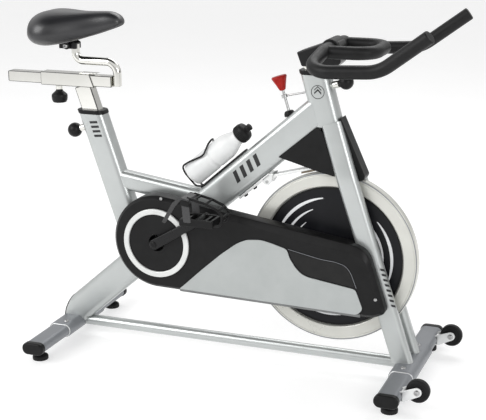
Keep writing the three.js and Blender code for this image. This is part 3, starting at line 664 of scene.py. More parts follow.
for end, x in (("rear", -480), ("front", 472)):
    oval(f"{end} stabilizer sleeve", x, -100, 100, 66, 38, "grey", "frame", f"{end}_stabilizer_sleeve",
         edge=1.2)
    oval(f"{end} stabilizer tube", x, -240, 240, 58, 30, "grey", "frame", f"{end}_stabilizer_tube")
    for side, sign in SIDES:
        ring = [at(x + px, sign * 100.4, ST_Z + pz) for px, pz in rounded(59.5, 31.5, 15, 12)]
        weld_ring(f"{end} sleeve weld {side}", ring)
        bolt(f"{end} sleeve bolt {side}", at(x + (9 if end == "rear" else 0), sign * 80, 59.2), Z, 6.5,
             4.2, "frame")
        oval(f"{end} end cap {side}", x, sign * 232, sign * 252, 61.5, 32.5, "black", "frame",
             f"end_cap_{end}_{side}", edge=4.5)
        foot_at = at(x, sign * 210, 0)
        foot = [(0, 0), (20.6, 0), (21, 2), (21, 9), (18.5, 12), (12, 14), (7, 15), (5, 16), (5, 38), (0, 38)]
        turned(f"levelling foot {end} {side}", foot, foot_at, Z, "rubber",
               f"foot_{end}_{side}", f"levelling_foot_{end}_{side}", r=1.2, n=56)
        turned(f"foot lock nut {end} {side}", [(5.2, 0), (11, 0), (11, 6), (5.2, 6)],
               go(foot_at, Z, 18.5), Z, "steel", f"foot_{end}_{side}", r=0.5, n=6)

# ---------------- transport wheels and floor bar
WHEEL_X, WHEEL_Z, WHEEL_R = 536, 56, 29
for side, sign in SIDES:
    y = sign * 190
    for k, off in (("inner", -13.7), ("outer", 13.7)):
        plate(f"wheel bracket {side} {k}", belt(WHEEL_X, WHEEL_Z + 1, 11.5, 500, 41, 13.5, 18), y + off - 1.7,
              y + off + 1.7, "pale", "frame", edge=0.6)
    plate(f"wheel bracket back {side}", box(496, 502, 30, 52), y - 15.4, y + 15.4, "pale", "frame")
    rod(f"wheel axle {side}", at(WHEEL_X, y - 18, WHEEL_Z), at(WHEEL_X, y + 18, WHEEL_Z), 4.6, "steel",
        "frame", n=32)
    for k, way in (("a", -1), ("b", 1)):
        bolt(f"wheel axle bolt {side} {k}", at(WHEEL_X, y + way * 15.4, WHEEL_Z), Y * way, 7.2, 4.5, "frame")
    half_tread = [(5.4, 10), (11, 10), (12, 8.2), (WHEEL_R - 9, 8.2), (WHEEL_R - 8, 9.6), (WHEEL_R - 3, 9.6),
                  (WHEEL_R - 0.4, 7), (WHEEL_R, 4)]
    tread = [(r, -d) for r, d in half_tread] + half_tread[::-1] + [(5.4, -10)]
    turned(f"transport wheel {side}", tread, at(WHEEL_X, y, WHEEL_Z), Y, "rubber", f"wheel_{side}",
           f"transport_wheel_{side}", r=1.2, n=96)

bar("floor bar", at(-450, 0, 41.5), at(442, 0, 41.5), 29, 30, 14, "silver", "frame", "floor_bar")

# ---------------- seat post, slider, saddle
# The rounded edges of these chrome parts carry the edge look: a painted dark reflection.
bar("seat post", go(SEAT_TOP, SEAT_UP, -250), go(SEAT_TOP, SEAT_UP, 78), 46, 30, 0, "chrome", "seat_post",
    "seat_post", edge=2.4, own="edge")
plate("slider sleeve", [(-549, 700), (-391, 700), (-404, 735), (-549, 735)], -18, 18, "chrome", "seat_post",
      edge=1.9, segs=4, own="edge")
plate("sleeve strap", [(-435, 735), (-390, 735), (-385, 737), (-435, 737.2)], -12, 12, "chrome", "seat_post",
      edge=0.5)
bar("seat slider bar", at(-649, 0, 717.5), at(-341.4, 0, 717.5), 29, 30, 0, "chrome", "seat_slider",
    "seat_slider_bar", edge=1.9, own="edge")
plate("slider bar end plug", box(-650.5, -648.6, 704.5, 730.5), -13.5, 13.5, "black",
      "seat_slider", edge=0.6)
tube_sweep("saddle post", [at(-450, 0, 812), at(-450, 0, 768), at(-330, 0, 768), at(-330, 0, 705)], [22, 30],
           11, "chrome", "seat_slider", "saddle_post", n=48, steps=18, edge=1.2, side=Y)

# Saddle clamp: a cast block with serrated side washers and a cross bolt.
plate("saddle clamp", [(-491, 799), (-441, 799), (-441, 815), (-447, 819), (-485, 819), (-491, 815)], -15,
      15, "gloss", "saddle", "saddle_clamp", r=2, edge=1.6, segs=4)
plate("clamp cradle", [(-479, 812), (-455, 812), (-457, 821), (-477, 821)], -30, 30, "gloss", "saddle", (),
      edge=1)
for side, sign in SIDES:
    turned(f"clamp washer {side}", [(0, 0), (10, 0), (10, 6), (8, 9), (0, 9)], at(-466, sign * 15, 808),
           Y * sign, "black", "saddle", r=1)
    bolt(f"clamp bolt {side}", at(-466, sign * 24, 808), Y * sign, 6.5, 4.5, "saddle")
rail_half = [(-545, 832, 24), (-520, 825, 22), (-440, 825, 22), (-408, 836, 14)]
rails = [at(x, y, z) for x, z, y in rail_half] + [at(x, -y, z) for x, z, y in reversed(rail_half)]
tube_sweep("saddle rails", rails, [20, 30, 12, 12, 30, 20], 3.4, "gloss", "saddle", "saddle_rails",
           n=20, steps=14)


def saddle_shape():
    """The saddle as cross-sections from tail to nose, each a crowned arch with a rolled edge."""
    # x, half width, top z, flank bottom z
    rows = [(-562.5, 20, 864, 842), (-561, 44, 873, 831), (-556, 64, 881.5, 822.5), (-547, 80, 889, 815),
            (-534, 92, 895, 810.5), (-518, 99, 899.5, 808.8), (-501, 101, 901, 809),
            (-483, 97, 900.8, 811.5), (-464, 86, 900, 815), (-444, 72, 899, 819.5), (-424, 58, 898.4, 824.5),
            (-404, 46, 898.4, 830.5), (-384, 38, 899, 837), (-364, 33, 900, 844), (-346, 30, 900.5, 850.5),
            (-331, 27, 898, 856), (-319, 23, 892, 861.5), (-312, 17, 885, 866), (-308.5, 9, 877.5, 869.5), ]
    bm = bmesh.new()
    rings = []
    steps, tuck, fullness = 28, RAD(62), 0.86
    for x, w, top, low in rows:
        ring = []
        mid = low + (top - low) * 0.36
        # the skin, from the right flank's tucked edge over the crown to the left's
        for i in range(steps + 1):
            a = (RAD(180) + 2 * tuck) * i / steps - tuck
            c, sn = math.cos(a), math.sin(a)
            y = -w * math.copysign(abs(c) ** fullness, c)
            z = mid + ((top - mid) * sn ** 0.9 if sn > 0 else (mid - low) * sn / math.sin(tuck))
            dip = 2.0 * math.exp(-(y / 16.0) ** 2) * (1 if -560 < x < -420 else 0.2)
            ring.append(bm.verts.new(at(x, y, z - dip)))
        # underside, tucked in
        edge = w * math.cos(tuck) ** fullness
        for i in range(1, 10):
            t = i / 10
            lift = min(20.0, (top - low) * 0.4) * math.sin(math.pi * t) ** 0.35
            ring.append(bm.verts.new(at(x, edge * (1 - 2 * t), low + 1.0 + lift)))
        rings.append(ring)
    skin(bm, rings)
    m = len(rings[0])
    for ring, flip in ((rings[0], True), (rings[-1], False)):
        c = sum((v.co for v in ring), Vector()) / m
        cv = bm.verts.new(c + Vector((-0.0025 if flip else 0.0015, 0, 0)))
        for j in range(m):
            a, b = ring[j], ring[(j + 1) % m]
            bm.faces.new((b, a, cv) if flip else (a, b, cv))
    return finish_mesh("saddle", bm, "vinyl", sharp=180)


saddle = saddle_shape()
smoother = saddle.modifiers.new("sub", "SUBSURF")
smoother.levels = 2
smoother.render_levels = 2
piece(saddle, "saddle", "saddle")


def pull_pin(name, node, start, out, tip, neck, knob, holder="frame", flat=False):
    """A pull pin: a collar on its holder, a stem and a round or flat-topped knob of radius knob."""
    turned(f"{name} collar", [(5, neck - 16), (9.5, neck - 16), (9.5, neck), (5, neck)], start, out, "chrome",
           holder, r=1.2, n=48)
    turned(f"{name} stem", [(0, tip), (4.4, tip), (4.4, neck + 3), (0, neck + 3)], start, out, "steel", node,
           r=0.6, n=32)
    if flat:
        prof = [(0, neck + 0.6), (9, neck + 0.8), (9.5, neck + 4), (knob * 0.62, neck + 7),
                (knob * 0.97, neck + 14), (knob, neck + 20), (knob * 0.95, neck + 29),
                (knob * 0.82, neck + 34.5), (knob * 0.4, neck + 36), (0, neck + 36)]
    else:
        prof = [(0, neck + 0.6), (8.5, neck + 0.8), (9.5, neck + 3)]
        ball_steps, ball_start = 12, 150
        for i in range(1, ball_steps):
            a = RAD(ball_start * (1 - i / ball_steps))
            prof.append((knob * math.sin(a), neck + 19.3 + knob * math.cos(a)))
        prof.append((0, neck + 19.3 + knob))
    turned(name, prof, start, out, "black", node, node, r=1.0, n=56)


pull_pin("seat height pin", "seat_height_pin", at(-393.8, 0, 602.5), SEAT_OUT, 23.8, 52.4, 19.5)
pull_pin("handlebar height pin", "handlebar_height_pin", at(223, 0, 733), HEAD_OUT, 23.8, 50.4, 18.5)
pull_pin("seat slider pin", "seat_slider_pin", at(-504, 0, 703), -Z, 0.6, 15.4, 21.5, "seat_post", flat=True)

# ---------------- handlebar
bar("handlebar post", go(HEAD_TOP, HEAD_UP, -108), go(HEAD_TOP, HEAD_UP, 30), 46, 30, 5, "chrome",
    "handlebar", "handlebar_post")
# one side of the outer bar, from the bullhorn's tip to the middle
half_bar = [(542, 220, 903), (424, 200, 815), (249, 197, 806), (258, 84, 838)]
outer = [at(x, -y, z) for x, y, z in half_bar] + [at(x, y, z) for x, y, z in reversed(half_bar)]
tube_sweep("outer handlebar", outer, [95, 56, 70, 70, 56, 95], 16.2, "grip", "handlebar", "outer_handlebar",
           n=44, steps=22, edge=3)
loop = [at(262, -75, 835), at(375, -75, 835), at(375, 75, 835), at(262, 75, 835)]
tube_sweep("inner handlebar", loop, [50, 50], 16, "grip", "handlebar", "inner_handlebar", n=44, steps=22)
stem_side = [(184, 789), (171, 823), (235, 847), (257, 858), (276, 853), (283, 838), (283, 802), (268, 789)]
plate("handlebar stem", stem_side, -28, 28, "gloss", "handlebar", "handlebar_stem", r=4, edge=3, segs=4)
turned("crossbar clamp", [(15, -36), (21, -36), (22, -34), (22, 34), (21, 36), (15, 36), (15, -36)],
       at(258, 0, 838), Y, "grip", "handlebar", (), r=3, n=56)

# ---------------- brake
ENTRY = at(146, 0, 661)  # where the brake rod goes into the beam
knob_base = go(ENTRY, ROD_DIR, -64)
knob = [(0, 0.4), (6.5, 0), (8.5, 3), (11.5, 12), (16.8, 26), (19.6, 32.5), (19.2, 36), (17, 37.5), (0, 37.5)]
turned("resistance knob", knob, knob_base, -ROD_DIR, "red", "resistance_knob", "resistance_knob", r=1.4, n=64)
rod("resistance rod", go(ENTRY, ROD_DIR, 134), go(knob_base, ROD_DIR, -20), 3.6, "steel", "brake_rod",
    "resistance_rod")
turned("rod grommet", [(6, 0), (14.5, 0), (13.5, 8), (10, 13), (6, 14)], go(ENTRY, ROD_DIR, 2), -ROD_DIR,
       "black", "frame", r=1)
STAY = at(131.3, 0, 708)
turned("rod guide ring", [(4.2, -4), (7.5, -4), (7.5, 4), (4.2, 4), (4.2, -4)], STAY, ROD_DIR, "steel",
       "frame", r=0.6, n=40)
rod("rod guide stay", at(192, 0, 722), STAY + Vector((0.008, 0, 0.0018)), 2.4, "steel", "frame", n=20)
STRIP_LOW = -6.3
strip = [beam_spot(s, t, -BEAM_HALF) for s, t in box(300, 408, -0.3, STRIP_LOW)]
plate("brake bracket", strip, -20, 20, "pale", "frame", "brake_bracket", edge=0.8)
ear = [(80, 494), (96, 508), (108, 512), (104, 490), (97, 481), (87, 481), (80, 486)]
for sign in (1, -1):
    plate(f"brake bracket ear {sign}", ear, 17 * sign, 20 * sign,
          "pale", "frame", (), edge=0.5)
for s in (312, 345):
    x, z = beam_spot(s, STRIP_LOW, -BEAM_HALF)
    bolt(f"brake bracket bolt {s}", at(x, 0, z), -BEAM_UP, 6, 4, "frame", "black")


def arm_z(x, slope=0.2772):
    """Height of the sloping brake arm's middle line."""
    return 505.5 + slope * (x - 112)


arm = [(86, 489), (92, 495.5), (108, 508), (226, arm_z(226) + 3), (226, arm_z(226) - 3),
       (113, arm_z(113) - 3), (98, 487), (92, 482.6), (87, 484)]
plate("brake arm", arm, -16, 16, "pale", "brake_arm", "brake_arm", edge=0.8)
rod("brake pivot pin", at(92, -21.5, 489), at(92, 21.5, 489), 4, "steel", "brake_arm", n=28)
pad = [(180, arm_z(180) - 3.3), (222, arm_z(222) - 3.3), (222, arm_z(222) - 9), (201, arm_z(201) - 9.6),
       (180, arm_z(180) - 9)]
plate("brake pad", pad, -11, 11, "felt", "brake_arm", "brake_pad", edge=0.6)

cheek = [(224, 641), (125, 558), (234, 528), (274, 520), (263, 560), (240, 630)]
for sign in (1, -1):
    plate(f"rear shroud cheek {sign}", cheek, 27.2 * sign, 30 * sign, "black", "frame",
          "rear_shroud" if sign == 1 else (), r=3, edge=0.8)
nose = [(283, 668), (348, 524), (344, 514), (320, 508), (318, 512), (309, 540), (290, 600), (279, 645)]
plate("front shroud", nose, -20.5, 20.5, "black", "frame", "front_shroud", r=4, edge=3, segs=4)

# ---------------- flywheel
# radii and half thicknesses of the rim and of the disc inside it
RIM_R, DISC_R, RIM_HALF, DISC_HALF = 221, 184, 12, 5
half_rim = [(DISC_R - 2, DISC_HALF + 0.2), (DISC_R + 1, RIM_HALF - 1), (DISC_R + 3, RIM_HALF),
            (RIM_R - 9, RIM_HALF), (RIM_R - 8.4, RIM_HALF - 0.8), (RIM_R - 7.6, RIM_HALF - 0.8),
            (RIM_R - 7, RIM_HALF), (RIM_R - 2.5, RIM_HALF), (RIM_R, RIM_HALF - 2.5)]
rim = [(r, -d) for r, d in half_rim] + half_rim[::-1] + [(DISC_R - 2, -DISC_HALF - 0.2)]
turned("flywheel", rim, FLY, Y, "rim", "flywheel", "flywheel", r=0.5, n=192)
half_disc = [(6.6, 18), (24, 18), (27, 16), (30, DISC_HALF), (DISC_R, DISC_HALF)]
disc = [(r, -d) for r, d in half_disc] + half_disc[::-1] + [(6.6, -18)]
for sign in (1, -1):
    # Thin grey and black rings near the rim's outer edge and the disc's edge are painted groove shade.
    rim_groove_shade_ring = [(RIM_R - 4, 11.7), (RIM_R - 1.6, 11.7), (RIM_R - 1.6, 12.25), (RIM_R - 4, 12.25),
                 (RIM_R - 4, 11.7)]
    turned(f"rim edge line {sign}", rim_groove_shade_ring, FLY, Y * sign, "grey", "flywheel", (), r=0.1,
           n=192)
    disc_groove_shade_ring = [(DISC_R - 6, 4.9), (DISC_R - 1.5, 4.9), (DISC_R - 1.5, 5.6), (DISC_R - 6, 5.6),
                  (DISC_R - 6, 4.9)]
    turned(f"disc edge line {sign}", disc_groove_shade_ring, FLY, Y * sign, "black", "flywheel", (),
           r=0.1, n=192)
turned("flywheel disc", disc, FLY, Y, "disc", "flywheel", r=0.7, n=160)


def arc_band(cx, cz, r0, r1, a0, a1, n=28, taper=True):
    """A curved stroke that thins towards both ends."""
    outer_pts, inner_pts = [], []
    for i in range(n + 1):
        t = i / n
        a = RAD(a0 + (a1 - a0) * t)
        swell = math.sin(math.pi * (0.06 + 0.88 * t)) ** 0.7 if taper else 1
        mid, half_w = (r0 + r1) / 2, (r1 - r0) / 2 * swell
        outer_pts.append((cx + (mid + half_w) * math.cos(a), cz + (mid + half_w) * math.sin(a)))
        inner_pts.append((cx + (mid - half_w) * math.cos(a), cz + (mid - half_w) * math.sin(a)))
    return outer_pts + inner_pts[::-1]


swirl = []
for base in (100, 220, 340):
    for r0, r1, first, last in ((150, 158, 0, 62), (128, 134, 14, 78), (108, 112, 30, 84)):
        swirl.append(arc_band(FLY_X, FLY_Z, r0, r1, base + first, base + last))
for sign in (1, -1):
    decal(f"flywheel print {sign}", swirl, -DISC_HALF - 0.05 if sign == 1 else DISC_HALF + 0.3, "print",
          "flywheel")

rod("flywheel axle", go(FLY, Y, -62), go(FLY, Y, 62), 6, "steel", "frame", "flywheel_axle", n=32)
for side, sign in SIDES:
    nut = [(0, 51.5), (9.5, 51.5), (9.5, 59), (0, 59)]
    turned(f"axle nut {side}", nut, FLY, Y * sign, "steel", "frame", r=0.8, n=6)
    inner_end = 19 if sign > 0 else 42
    spacer = [(6, inner_end), (8.5, inner_end), (8.5, 45), (6, 45)]
    turned(f"axle spacer {side}", spacer, FLY, Y * sign, "steel", "frame", r=0.4, n=32)


def sprocket(name, cx, cz, r, teeth, body, node):
    """A toothed ring in the chain's plane."""
    steps, depth, half = 6, 3.2, 1.8
    outline = []
    for i in range(teeth * steps):
        a = 2 * math.pi * i / (teeth * steps)
        reach = r - depth * (0.5 + 0.5 * math.cos(2 * math.pi * (i % steps) / steps)) ** 1.2
        outline.append((cx + reach * math.cos(a), cz + reach * math.sin(a)))
    bm = bmesh.new()
    prism(bm, outline, CHAIN_Y - half, CHAIN_Y + half)
    return piece(finish_mesh(name, bm, "steel"), body, node)


sprocket("flywheel sprocket", FLY_X, FLY_Z, 33, 17, "flywheel", "flywheel_sprocket")
turned("sprocket hub", [(6.6, 18.5), (15, 18.5), (15, 41), (6.6, 41)], FLY, -Y, "steel", "flywheel", r=0.8,
       n=48)
sprocket("chainring", CRANK_X, CRANK_Z, 100, 52, "crankset", "chainring")


def chain():
    """Roller chain as link plates round both sprockets, an even number of them."""
    pitch, link_r, plate_thick, link_steps = 12.7, 3.0, 0.9, 7
    pts = [Vector(spot) for spot in belt(CRANK_X, CRANK_Z, 103, FLY_X, FLY_Z, 36, 120)]
    lengths = [0.0]
    for a, b in zip(pts, pts[1:] + [pts[0]]):
        lengths.append(lengths[-1] + (b - a).length)
    total = lengths[-1]
    count = int(total / pitch)
    count -= count % 2

    def spot_at(d):
        d %= total
        for i in range(len(pts)):
            if lengths[i + 1] >= d:
                t = (d - lengths[i]) / max(1e-9, lengths[i + 1] - lengths[i])
                return pts[i].lerp(pts[(i + 1) % len(pts)], t)
        return pts[0]

    bm = bmesh.new()
    step = total / count
    for k in range(count):
        a, b = spot_at(k * step), spot_at((k + 1) * step)
        d = (b - a).normalized()
        across = Vector((-d.y, d.x))
        outline = []
        for centre, first in ((a, 90), (b, -90)):
            for q in range(link_steps + 1):
                turn = RAD(first + 180 * q / link_steps)
                outline.append(tuple(centre + (d * math.cos(turn) + across * math.sin(turn)) * link_r))
        wide = 3.3 if k % 2 else 2.3
        for sign in (1, -1):
            prism(bm, outline, CHAIN_Y + sign * (wide - plate_thick), CHAIN_Y + sign * wide)
    return piece(finish_mesh("drive chain", bm, "steel"), "frame", "drive_chain")


chain()

# ---------------- cranks and pedals
rod("crank axle", go(CRANK, Y, -103), go(CRANK, Y, 103), 8.5, "steel", "crankset", "crank_axle", n=48)
CRANK_REACH, CRANK_ANGLE = 172, RAD(31.3)


def pedal_plate(name, outline, ex, ez, y0, y1, look, body, r=0.0, edge=0.8):
    """A plate whose outline is measured from the pedal's axle."""
    plate(name, [(ex + px, ez + pz) for px, pz in outline], y0, y1, look, body, r=r, edge=edge)


for side, sign in SIDES:
    ex = CRANK_X - sign * CRANK_REACH * math.cos(CRANK_ANGLE)
    ez = CRANK_Z - sign * CRANK_REACH * math.sin(CRANK_ANGLE)
    plate(f"crank arm {side}", belt(CRANK_X, CRANK_Z, 14, ex, ez, 10.5, 24), 92 * sign, 104 * sign,
          "gloss", "crankset", f"crank_arm_{side}", edge=4, segs=4)
    turned(f"crank cap {side}", [(0, 0), (8, 0), (8, 1.2), (6, 2.4), (0, 2.4)],
           at(CRANK_X, 104 * sign, CRANK_Z), Y * sign, "black", "crankset", (), r=0.8, n=40)
    rod(f"pedal spindle {side}", at(ex, sign * 103, ez), at(ex, sign * 166, ez), 6, "steel", "crankset",
        n=28)
    body = f"pedal_{side}"
    # platform: two side rails, a barrel and cross treads
    y_in, y_out = 108 * sign, 170 * sign
    rod(f"pedal barrel {side}", at(ex, y_in, ez), at(ex, y_out - 3 * sign, ez), 10.5, "black", body,
        body, edge=1.5, n=36)
    rail = [(-44, -8), (46, -8), (46, 8), (30, 11), (-30, 11), (-44, 8)]
    for k, a, b in (("in", y_in, y_in + 7 * sign), ("out", y_out - 7 * sign, y_out)):
        pedal_plate(f"pedal rail {side} {k}", rail, ex, ez, a, b, "black", body, r=4, edge=1.2)
    for k, px in enumerate((-40, -24, 24, 40)):
        pedal_plate(f"pedal tread {side} {k}", box(px - 3.5, px + 3.5, -9.5, 9.5), ex, ez,
                    y_in + 3 * sign, y_out - 3 * sign, "black", body, edge=1)
    # toe cage: two side wires joined over the toe
    cage_in, cage_out = y_in + 8 * sign, y_out - 8 * sign
    for k, y in (("in", cage_in), ("out", cage_out)):
        toe = ((42, -3), (60, -2), (68, 10), (68, 27), (54, 40), (24, 52), (-24, 63))
        wire = [at(ex + px, y, ez + pz) for px, pz in toe]
        tube_sweep(f"toe cage side {side} {k}", wire, [10, 12, 14, 16, 40], 3.4, "black", body,
                   f"toe_cage_{side}" if k == "in" else (), n=16, steps=10)
    for k, (px, pz) in enumerate(((68, 20), (57, 38), (24, 51.5), (-6, 59))):
        rod(f"toe cage bar {side} {k}", at(ex + px, cage_in, ez + pz), at(ex + px, cage_out, ez + pz),
            3.2, "black", body, n=16)
    # strap round the foot, with its buckle and loose tail
    strap_side = [(-37, 64), (-17, 61), (-11, 2), (-31, 2)]
    strap_top = [(-37, 62.5), (-37, 65.2), (-17, 62.2), (-17, 59.5)]
    buckle = [(-38, 46), (-15, 43), (-14, 57), (-37, 60)]
    tail = [(-32, 64), (-41, 66), (-61, 49), (-90, -2), (-81, -6), (-53, 41)]
    for what, outline, a, b, look, r, edge in (
            ("toe strap outer", strap_side, y_out + 0.4 * sign, y_out + 2.6 * sign, "strap", 3, 0.6),
            ("toe strap inner", strap_side, y_in + 2 * sign, y_in + 4 * sign, "strap", 3, 0.6),
            ("toe strap top", strap_top, y_in + 2 * sign, y_out + 2.6 * sign, "strap", 0, 0.6),
            ("strap buckle", buckle, y_out + 1.5 * sign, y_out + 5 * sign, "black", 2, 0.8),
            ("strap tail", tail, y_out + 0.6 * sign, y_out + 2.4 * sign, "tail", 4, 0.5)):
        pedal_plate(f"{what} {side}", outline, ex, ez, a, b, look, body, r, edge)

# ---------------- chain guard
def guard_outline(f, n=72):
    """The guard's outline; f runs from its edge (0) to the line where the flat face starts (1)."""
    fall, radius = math.atan(0.151), 124
    k = 8.0 * f
    pts = []
    a0, a1 = math.pi / 2 - fall, 1.5 * math.pi - 0.023
    for i in range(n + 1):
        a = a0 + (a1 - a0) * i / n
        grow = max(0.0, 1 - (a - a0) / 0.7) ** 1.5
        rad = radius - k - 3.0 * f * grow
        pts.append((CRANK_X + rad * math.cos(a), CRANK_Z + 1 + rad * math.sin(a)))
    corners = [(-4, 414.3 - 14 * f), (103, 398.2 - 18 * f), (204, 382.9 - 21.5 * f), (281, 371.3 - 19.5 * f),
               (340 - 2 * f, 362.3 - 19.5 * f), (363 - 4 * f, 352 - 18 * f), (378 - k, 333 - k),
               (424 - k, 196 + k * 0.6), (392 - k * 0.3, 181 + k), (350, 181 + k)]
    soft = soften([pts[-1]] + corners[::-1] + [pts[0]], 14, 8)
    return pts + soft[1:-1]


GUARD_FACE = -84.0


def guard():
    """Outer face with a broad slope along its top edge, side walls and an open back."""
    # how far in from the guard's edge, and the y of that line
    layers = [(0.0, -40.0), (0.0, -74.5), (0.03, -75.9), (0.08, -76.8), (0.92, -83.4), (0.97, -83.85),
              (1.0, GUARD_FACE), (1.05, GUARD_FACE)]
    bm = bmesh.new()
    rings = [[bm.verts.new(at(x, y, z)) for x, z in guard_outline(f)] for f, y in layers]
    skin(bm, rings)
    bm.faces.new(rings[-1])
    o = finish_mesh("chain guard", bm, "black", sharp=50)
    wall = o.modifiers.new("wall", "SOLIDIFY")
    wall.thickness = 3 * MM
    wall.offset = -1
    boolean(o, prism_cutter([(321.5, 382), (390.5, 170), (560, 170), (560, 382)], -53, -10))
    cylinder_cut(o, go(CRANK, Y, -100), go(CRANK, Y, -60), 22)
    reshade(o, 45)
    return piece(o, "frame", "chain_guard")


guard()
panel = [(-119, 205), (-66, 255), (-11, 304), (33, 338), (60, 351), (98, 355), (125, 350), (168, 338),
         (176, 314), (191, 292), (206, 278), (223, 271), (257, 266), (347, 253), (367, 202), (352, 187),
         (-128, 198)]
plate("guard panel", panel, -87, -84.3, "panel", "frame", "guard_panel", r=9, edge=1.2, segs=4, corner=6)
# The fold strip's dark look is painted shade under the silver panel's bottom edge.
bar("panel fold", at(-126, -82.4, 195.3), at(360, -82.4, 185.2), 9.5, 9.2, 4.4, "fold_painted_shade", "frame", edge=1.5)
window = [(171, 336), (256, 319), (295, 316), (319, 309), (332, 294), (346, 256), (257, 269), (224, 274),
          (207, 281), (193, 295), (179, 316)]
plate("guard window", window, -85.0, -84.1, "window", "frame", r=8, edge=0.4, corner=6)
# A thin grey line along the window's upper edge: a painted highlight.
window_highlight_line = [at(x, -85.2, z) for x, z in soften([(171, 338), (256, 321), (295, 318), (320, 311), (334, 295),
                                                 (349, 256)], 10, 6)]
piece(finish_mesh("window trim", sweep_bm(window_highlight_line, circle(0.7, 10), Y), "grey"), "frame", ())
crank_disc = [(22, 84), (92, 84), (92.6, 85.5), (91, 88), (78, 88.4), (76.9, 86), (22, 86), (22, 84)]
turned("crank disc", crank_disc, CRANK, -Y, "black", "frame",
       r=0.5, n=128)
guard_ring = [(77.2, 85.8), (92.3, 85.8), (91.8, 90), (90.5, 91), (79, 91), (77.6, 90), (77.2, 85.8)]
turned("guard ring", guard_ring, CRANK, -Y, "ring", "frame",
       r=0.6, n=160)
for i, (x, y, z) in enumerate(((398, -84, 232), (319, -83, 192), (-175, -84, 436))):
    bolt(f"guard screw {i}", at(x, y, z), -Y, 4.4, 2.6, "frame")

# ---------------- bottle and cage
bottle_foot = on_beam(228, 42.5)
bottle = [(0, 0), (28, 0), (31, 1.5), (32, 5), (32, 72), (30.4, 76), (30.4, 82), (32, 86), (32, 120),
          (31, 130), (27, 144), (22, 156), (20, 163), (20, 170), (0, 170)]
turned("water bottle", bottle, bottle_foot, BEAM_DIR, "white", "bottle", "water_bottle", r=3, n=96)
bottle_cap = [(0, 170.3), (21, 170.3), (23.5, 172), (23.5, 190), (21.5, 196), (16, 199), (9.5, 200),
              (8.5, 204), (8, 207), (9, 208), (9, 211.5), (6, 213), (0, 213)]
turned("bottle cap", bottle_cap, bottle_foot, BEAM_DIR, "black", "bottle_cap", "bottle_cap", r=1.2, n=64)


def cap_ribs(count=36):
    """Grip ribs round the bottle cap."""
    bm = bmesh.new()
    x = BEAM_DIR.orthogonal().normalized()
    y = BEAM_DIR.cross(x)
    for i in range(count):
        a = 2 * math.pi * i / count
        out = x * math.cos(a) + y * math.sin(a)
        lathe_bm([(0, 174), (0.9, 174.5), (0.9, 187.5), (0, 188)], go(bottle_foot, out, 23.4), BEAM_DIR, 8,
                 bm)
    return piece(finish_mesh("bottle cap ribs", bm, "black"), "bottle_cap", ())


def bend_radii(wire, share=0.42):
    """For each inner point, the radius whose bend takes up a share of its shorter neighbour."""
    radii = []
    for before, here, after in zip(wire, wire[1:], wire[2:]):
        shorter = min((here - before).length, (after - here).length) / MM
        ang = (before - here).angle(after - here)
        radii.append(max(1.5, share * shorter * math.tan(ang / 2)))
    return radii


cap_ribs()
# along the beam, off its face, to one side
wire_half = [(230, 4, 5), (221, 14, 14), (221, 58, 18), (228, 75, 20), (250, 73, 23), (293, 62, 31),
             (304, 62, 31), (326, 77, 17), (334, 80, 4)]
wire = [on_beam(s, t, -yy) for s, t, yy in wire_half] + [on_beam(s, t, yy) for s, t,
                                                         yy in reversed(wire_half)]
tube_sweep("bottle cage", wire, bend_radii(wire), 2.5, "gloss", "frame", "bottle_cage", n=14, steps=14)
strip = [beam_spot(s, t) for s, t in box(226, 392, 0.4, 5.4)]
plate("cage strip", strip, -8, 8, "gloss", "frame", edge=0.8)

# ---------------- plain graphics in place of lettering
TUBE_FACE = -BEAM_WIDTH / 2 - 0.05
LEG_FACE = -51.6


def slashes(name, start, angle, y, count, pitch, width, height, lean):
    """A row of leaning strokes that starts at an (x, z) and runs on at an angle."""
    along = Vector((math.cos(angle), math.sin(angle)))
    up = Vector((-along.y, along.x)) * height + along * lean
    polys = []
    for i in range(count):
        a = Vector(start) + along * (i * pitch)
        b = a + along * width
        polys.append([tuple(a), tuple(b), tuple(b + up), tuple(a + up)])
    decal(name, polys, y, "decal", "frame")


slashes("beam stripes", (14, 479), BEAM_ANGLE, TUBE_FACE, 4, 24, 12, 30, 9)
slashes("seat tube stripes", (-404, 612), SEAT_LEAN - RAD(90), TUBE_FACE, 4, 12.5, 6.5, 22, 5)
slashes("leg stripes", (399.5, 303), math.atan2(-1, LEG_SLOPE), LEG_FACE, 8, 13.6, 6, 10, 4)
decal("badge ring", [arc_band(226, 728, 15.5, 17.2, 0, 359.9, 60, taper=False)], TUBE_FACE, "decal", "frame")
chevrons = []
for z, arm_height in ((722, 5), (731, 3)):
    lower = [(217, z), (226, z + 9), (235, z)]
    chevrons.append(lower + [(px, pz + arm_height) for px, pz in lower[::-1]])
decal("badge chevron", chevrons, TUBE_FACE, "decal", "frame")

# ---------------- stage, light, camera
def floor():
    """A pale floor that glows a little, as a white page would."""
    bm = bmesh.new()
    bmesh.ops.create_grid(bm, x_segments=1, y_segments=1, size=14)
    pale = mat("pale floor", (0.60, 0.60, 0.60), (0.62, 0.62, 0.62), (0.6, 0.7), scale=3, fine=60, depth=0.0,
               spec=0.2)
    glow = pale.node_tree.nodes["Principled BSDF"]
    glow.inputs["Emission Color"].default_value = (1, 1, 1, 1)
    glow.inputs["Emission Strength"].default_value = 0.50
    finish_mesh("floor", bm, pale)


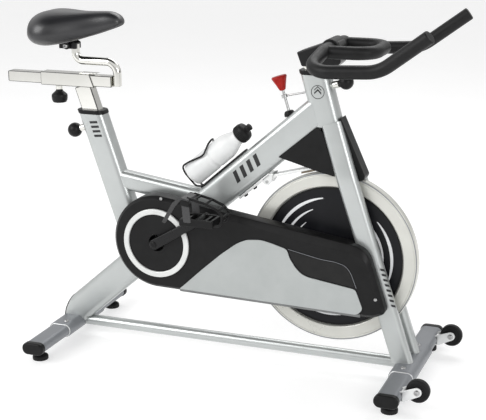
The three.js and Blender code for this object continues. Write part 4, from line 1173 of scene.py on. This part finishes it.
def studio():
    """Grey surroundings by height: dim below, white walls, a dark ceiling."""
    world = bpy.data.worlds.new("studio")
    bpy.context.scene.world = world
    world.use_nodes = True
    nt = world.node_tree
    nt.nodes.clear()
    out = nt.nodes.new("ShaderNodeOutputWorld")
    bg = nt.nodes.new("ShaderNodeBackground")
    bg.inputs["Strength"].default_value = 0.95
    nt.links.new(bg.outputs[0], out.inputs[0])
    tc = nt.nodes.new("ShaderNodeTexCoord")
    sep = nt.nodes.new("ShaderNodeSeparateXYZ")
    nt.links.new(tc.outputs["Generated"], sep.inputs[0])
    height = span(nt, sep.outputs["Z"], 0, 1, -1, 1)
    tones = ramp(nt, height, (0.55, 0.55, 0.55, 1), (0.10, 0.10, 0.10, 1), 0.0, 1.0)
    for place, tone in ((0.47, 0.55), (0.52, 0.50), (0.60, 0.66), (0.70, 1.0), (0.86, 0.95), (0.93, 0.16)):
        stop = tones.color_ramp.elements.new(place)
        stop.color = (tone, tone, tone, 1)
    nt.links.new(tones.outputs[0], bg.inputs["Color"])


def area(name, loc, target, size, power):
    """A rectangular lamp at loc, turned to its target."""
    lamp = bpy.data.lights.new(name, "AREA")
    lamp.shape = "RECTANGLE"
    lamp.size, lamp.size_y = size
    lamp.energy = power
    o = bpy.data.objects.new(name, lamp)
    bpy.context.collection.objects.link(o)
    o.location = loc
    o.rotation_euler = (Vector(target) - Vector(loc)).to_track_quat("-Z", "Y").to_euler()


floor()
studio()
area("key", (-2.4, -2.6, 2.4), (0, 0, 0.45), (2.6, 2.4), 82)
area("fill", (2.8, -2.2, 1.6), (0, 0, 0.5), (1.6, 1.6), 34)
area("top", (0.2, 2.2, 3.2), (0, 0, 0.4), (3.0, 1.6), 45)


def camera():
    """The photo's own view: where it stands, which way it looks and its lens."""
    data = bpy.data.cameras.new("camera")
    data.sensor_width = 36
    data.lens = 92.246
    data.clip_end = 60
    cam = bpy.data.objects.new("camera", data)
    bpy.context.collection.objects.link(cam)
    azimuth, height, roll = 0.36883359, 0.27897209, -0.00675977
    place = at(1134.01178, -2885.6351, 1288.47505)
    back = Vector((math.sin(azimuth) * math.cos(height), -math.cos(azimuth) * math.cos(height),
                   math.sin(height)))
    level = Vector((math.cos(azimuth), math.sin(azimuth), 0))
    over = back.cross(level)
    right = level * math.cos(roll) + over * math.sin(roll)
    up = -level * math.sin(roll) + over * math.cos(roll)
    cam.matrix_world = Matrix.Translation(place) @ Matrix((right, up, back)).transposed().to_4x4()
    bpy.context.scene.camera = cam


camera()
bpy.context.scene.view_settings.view_transform = "Standard"
bpy.context.scene.view_settings.look = "None"
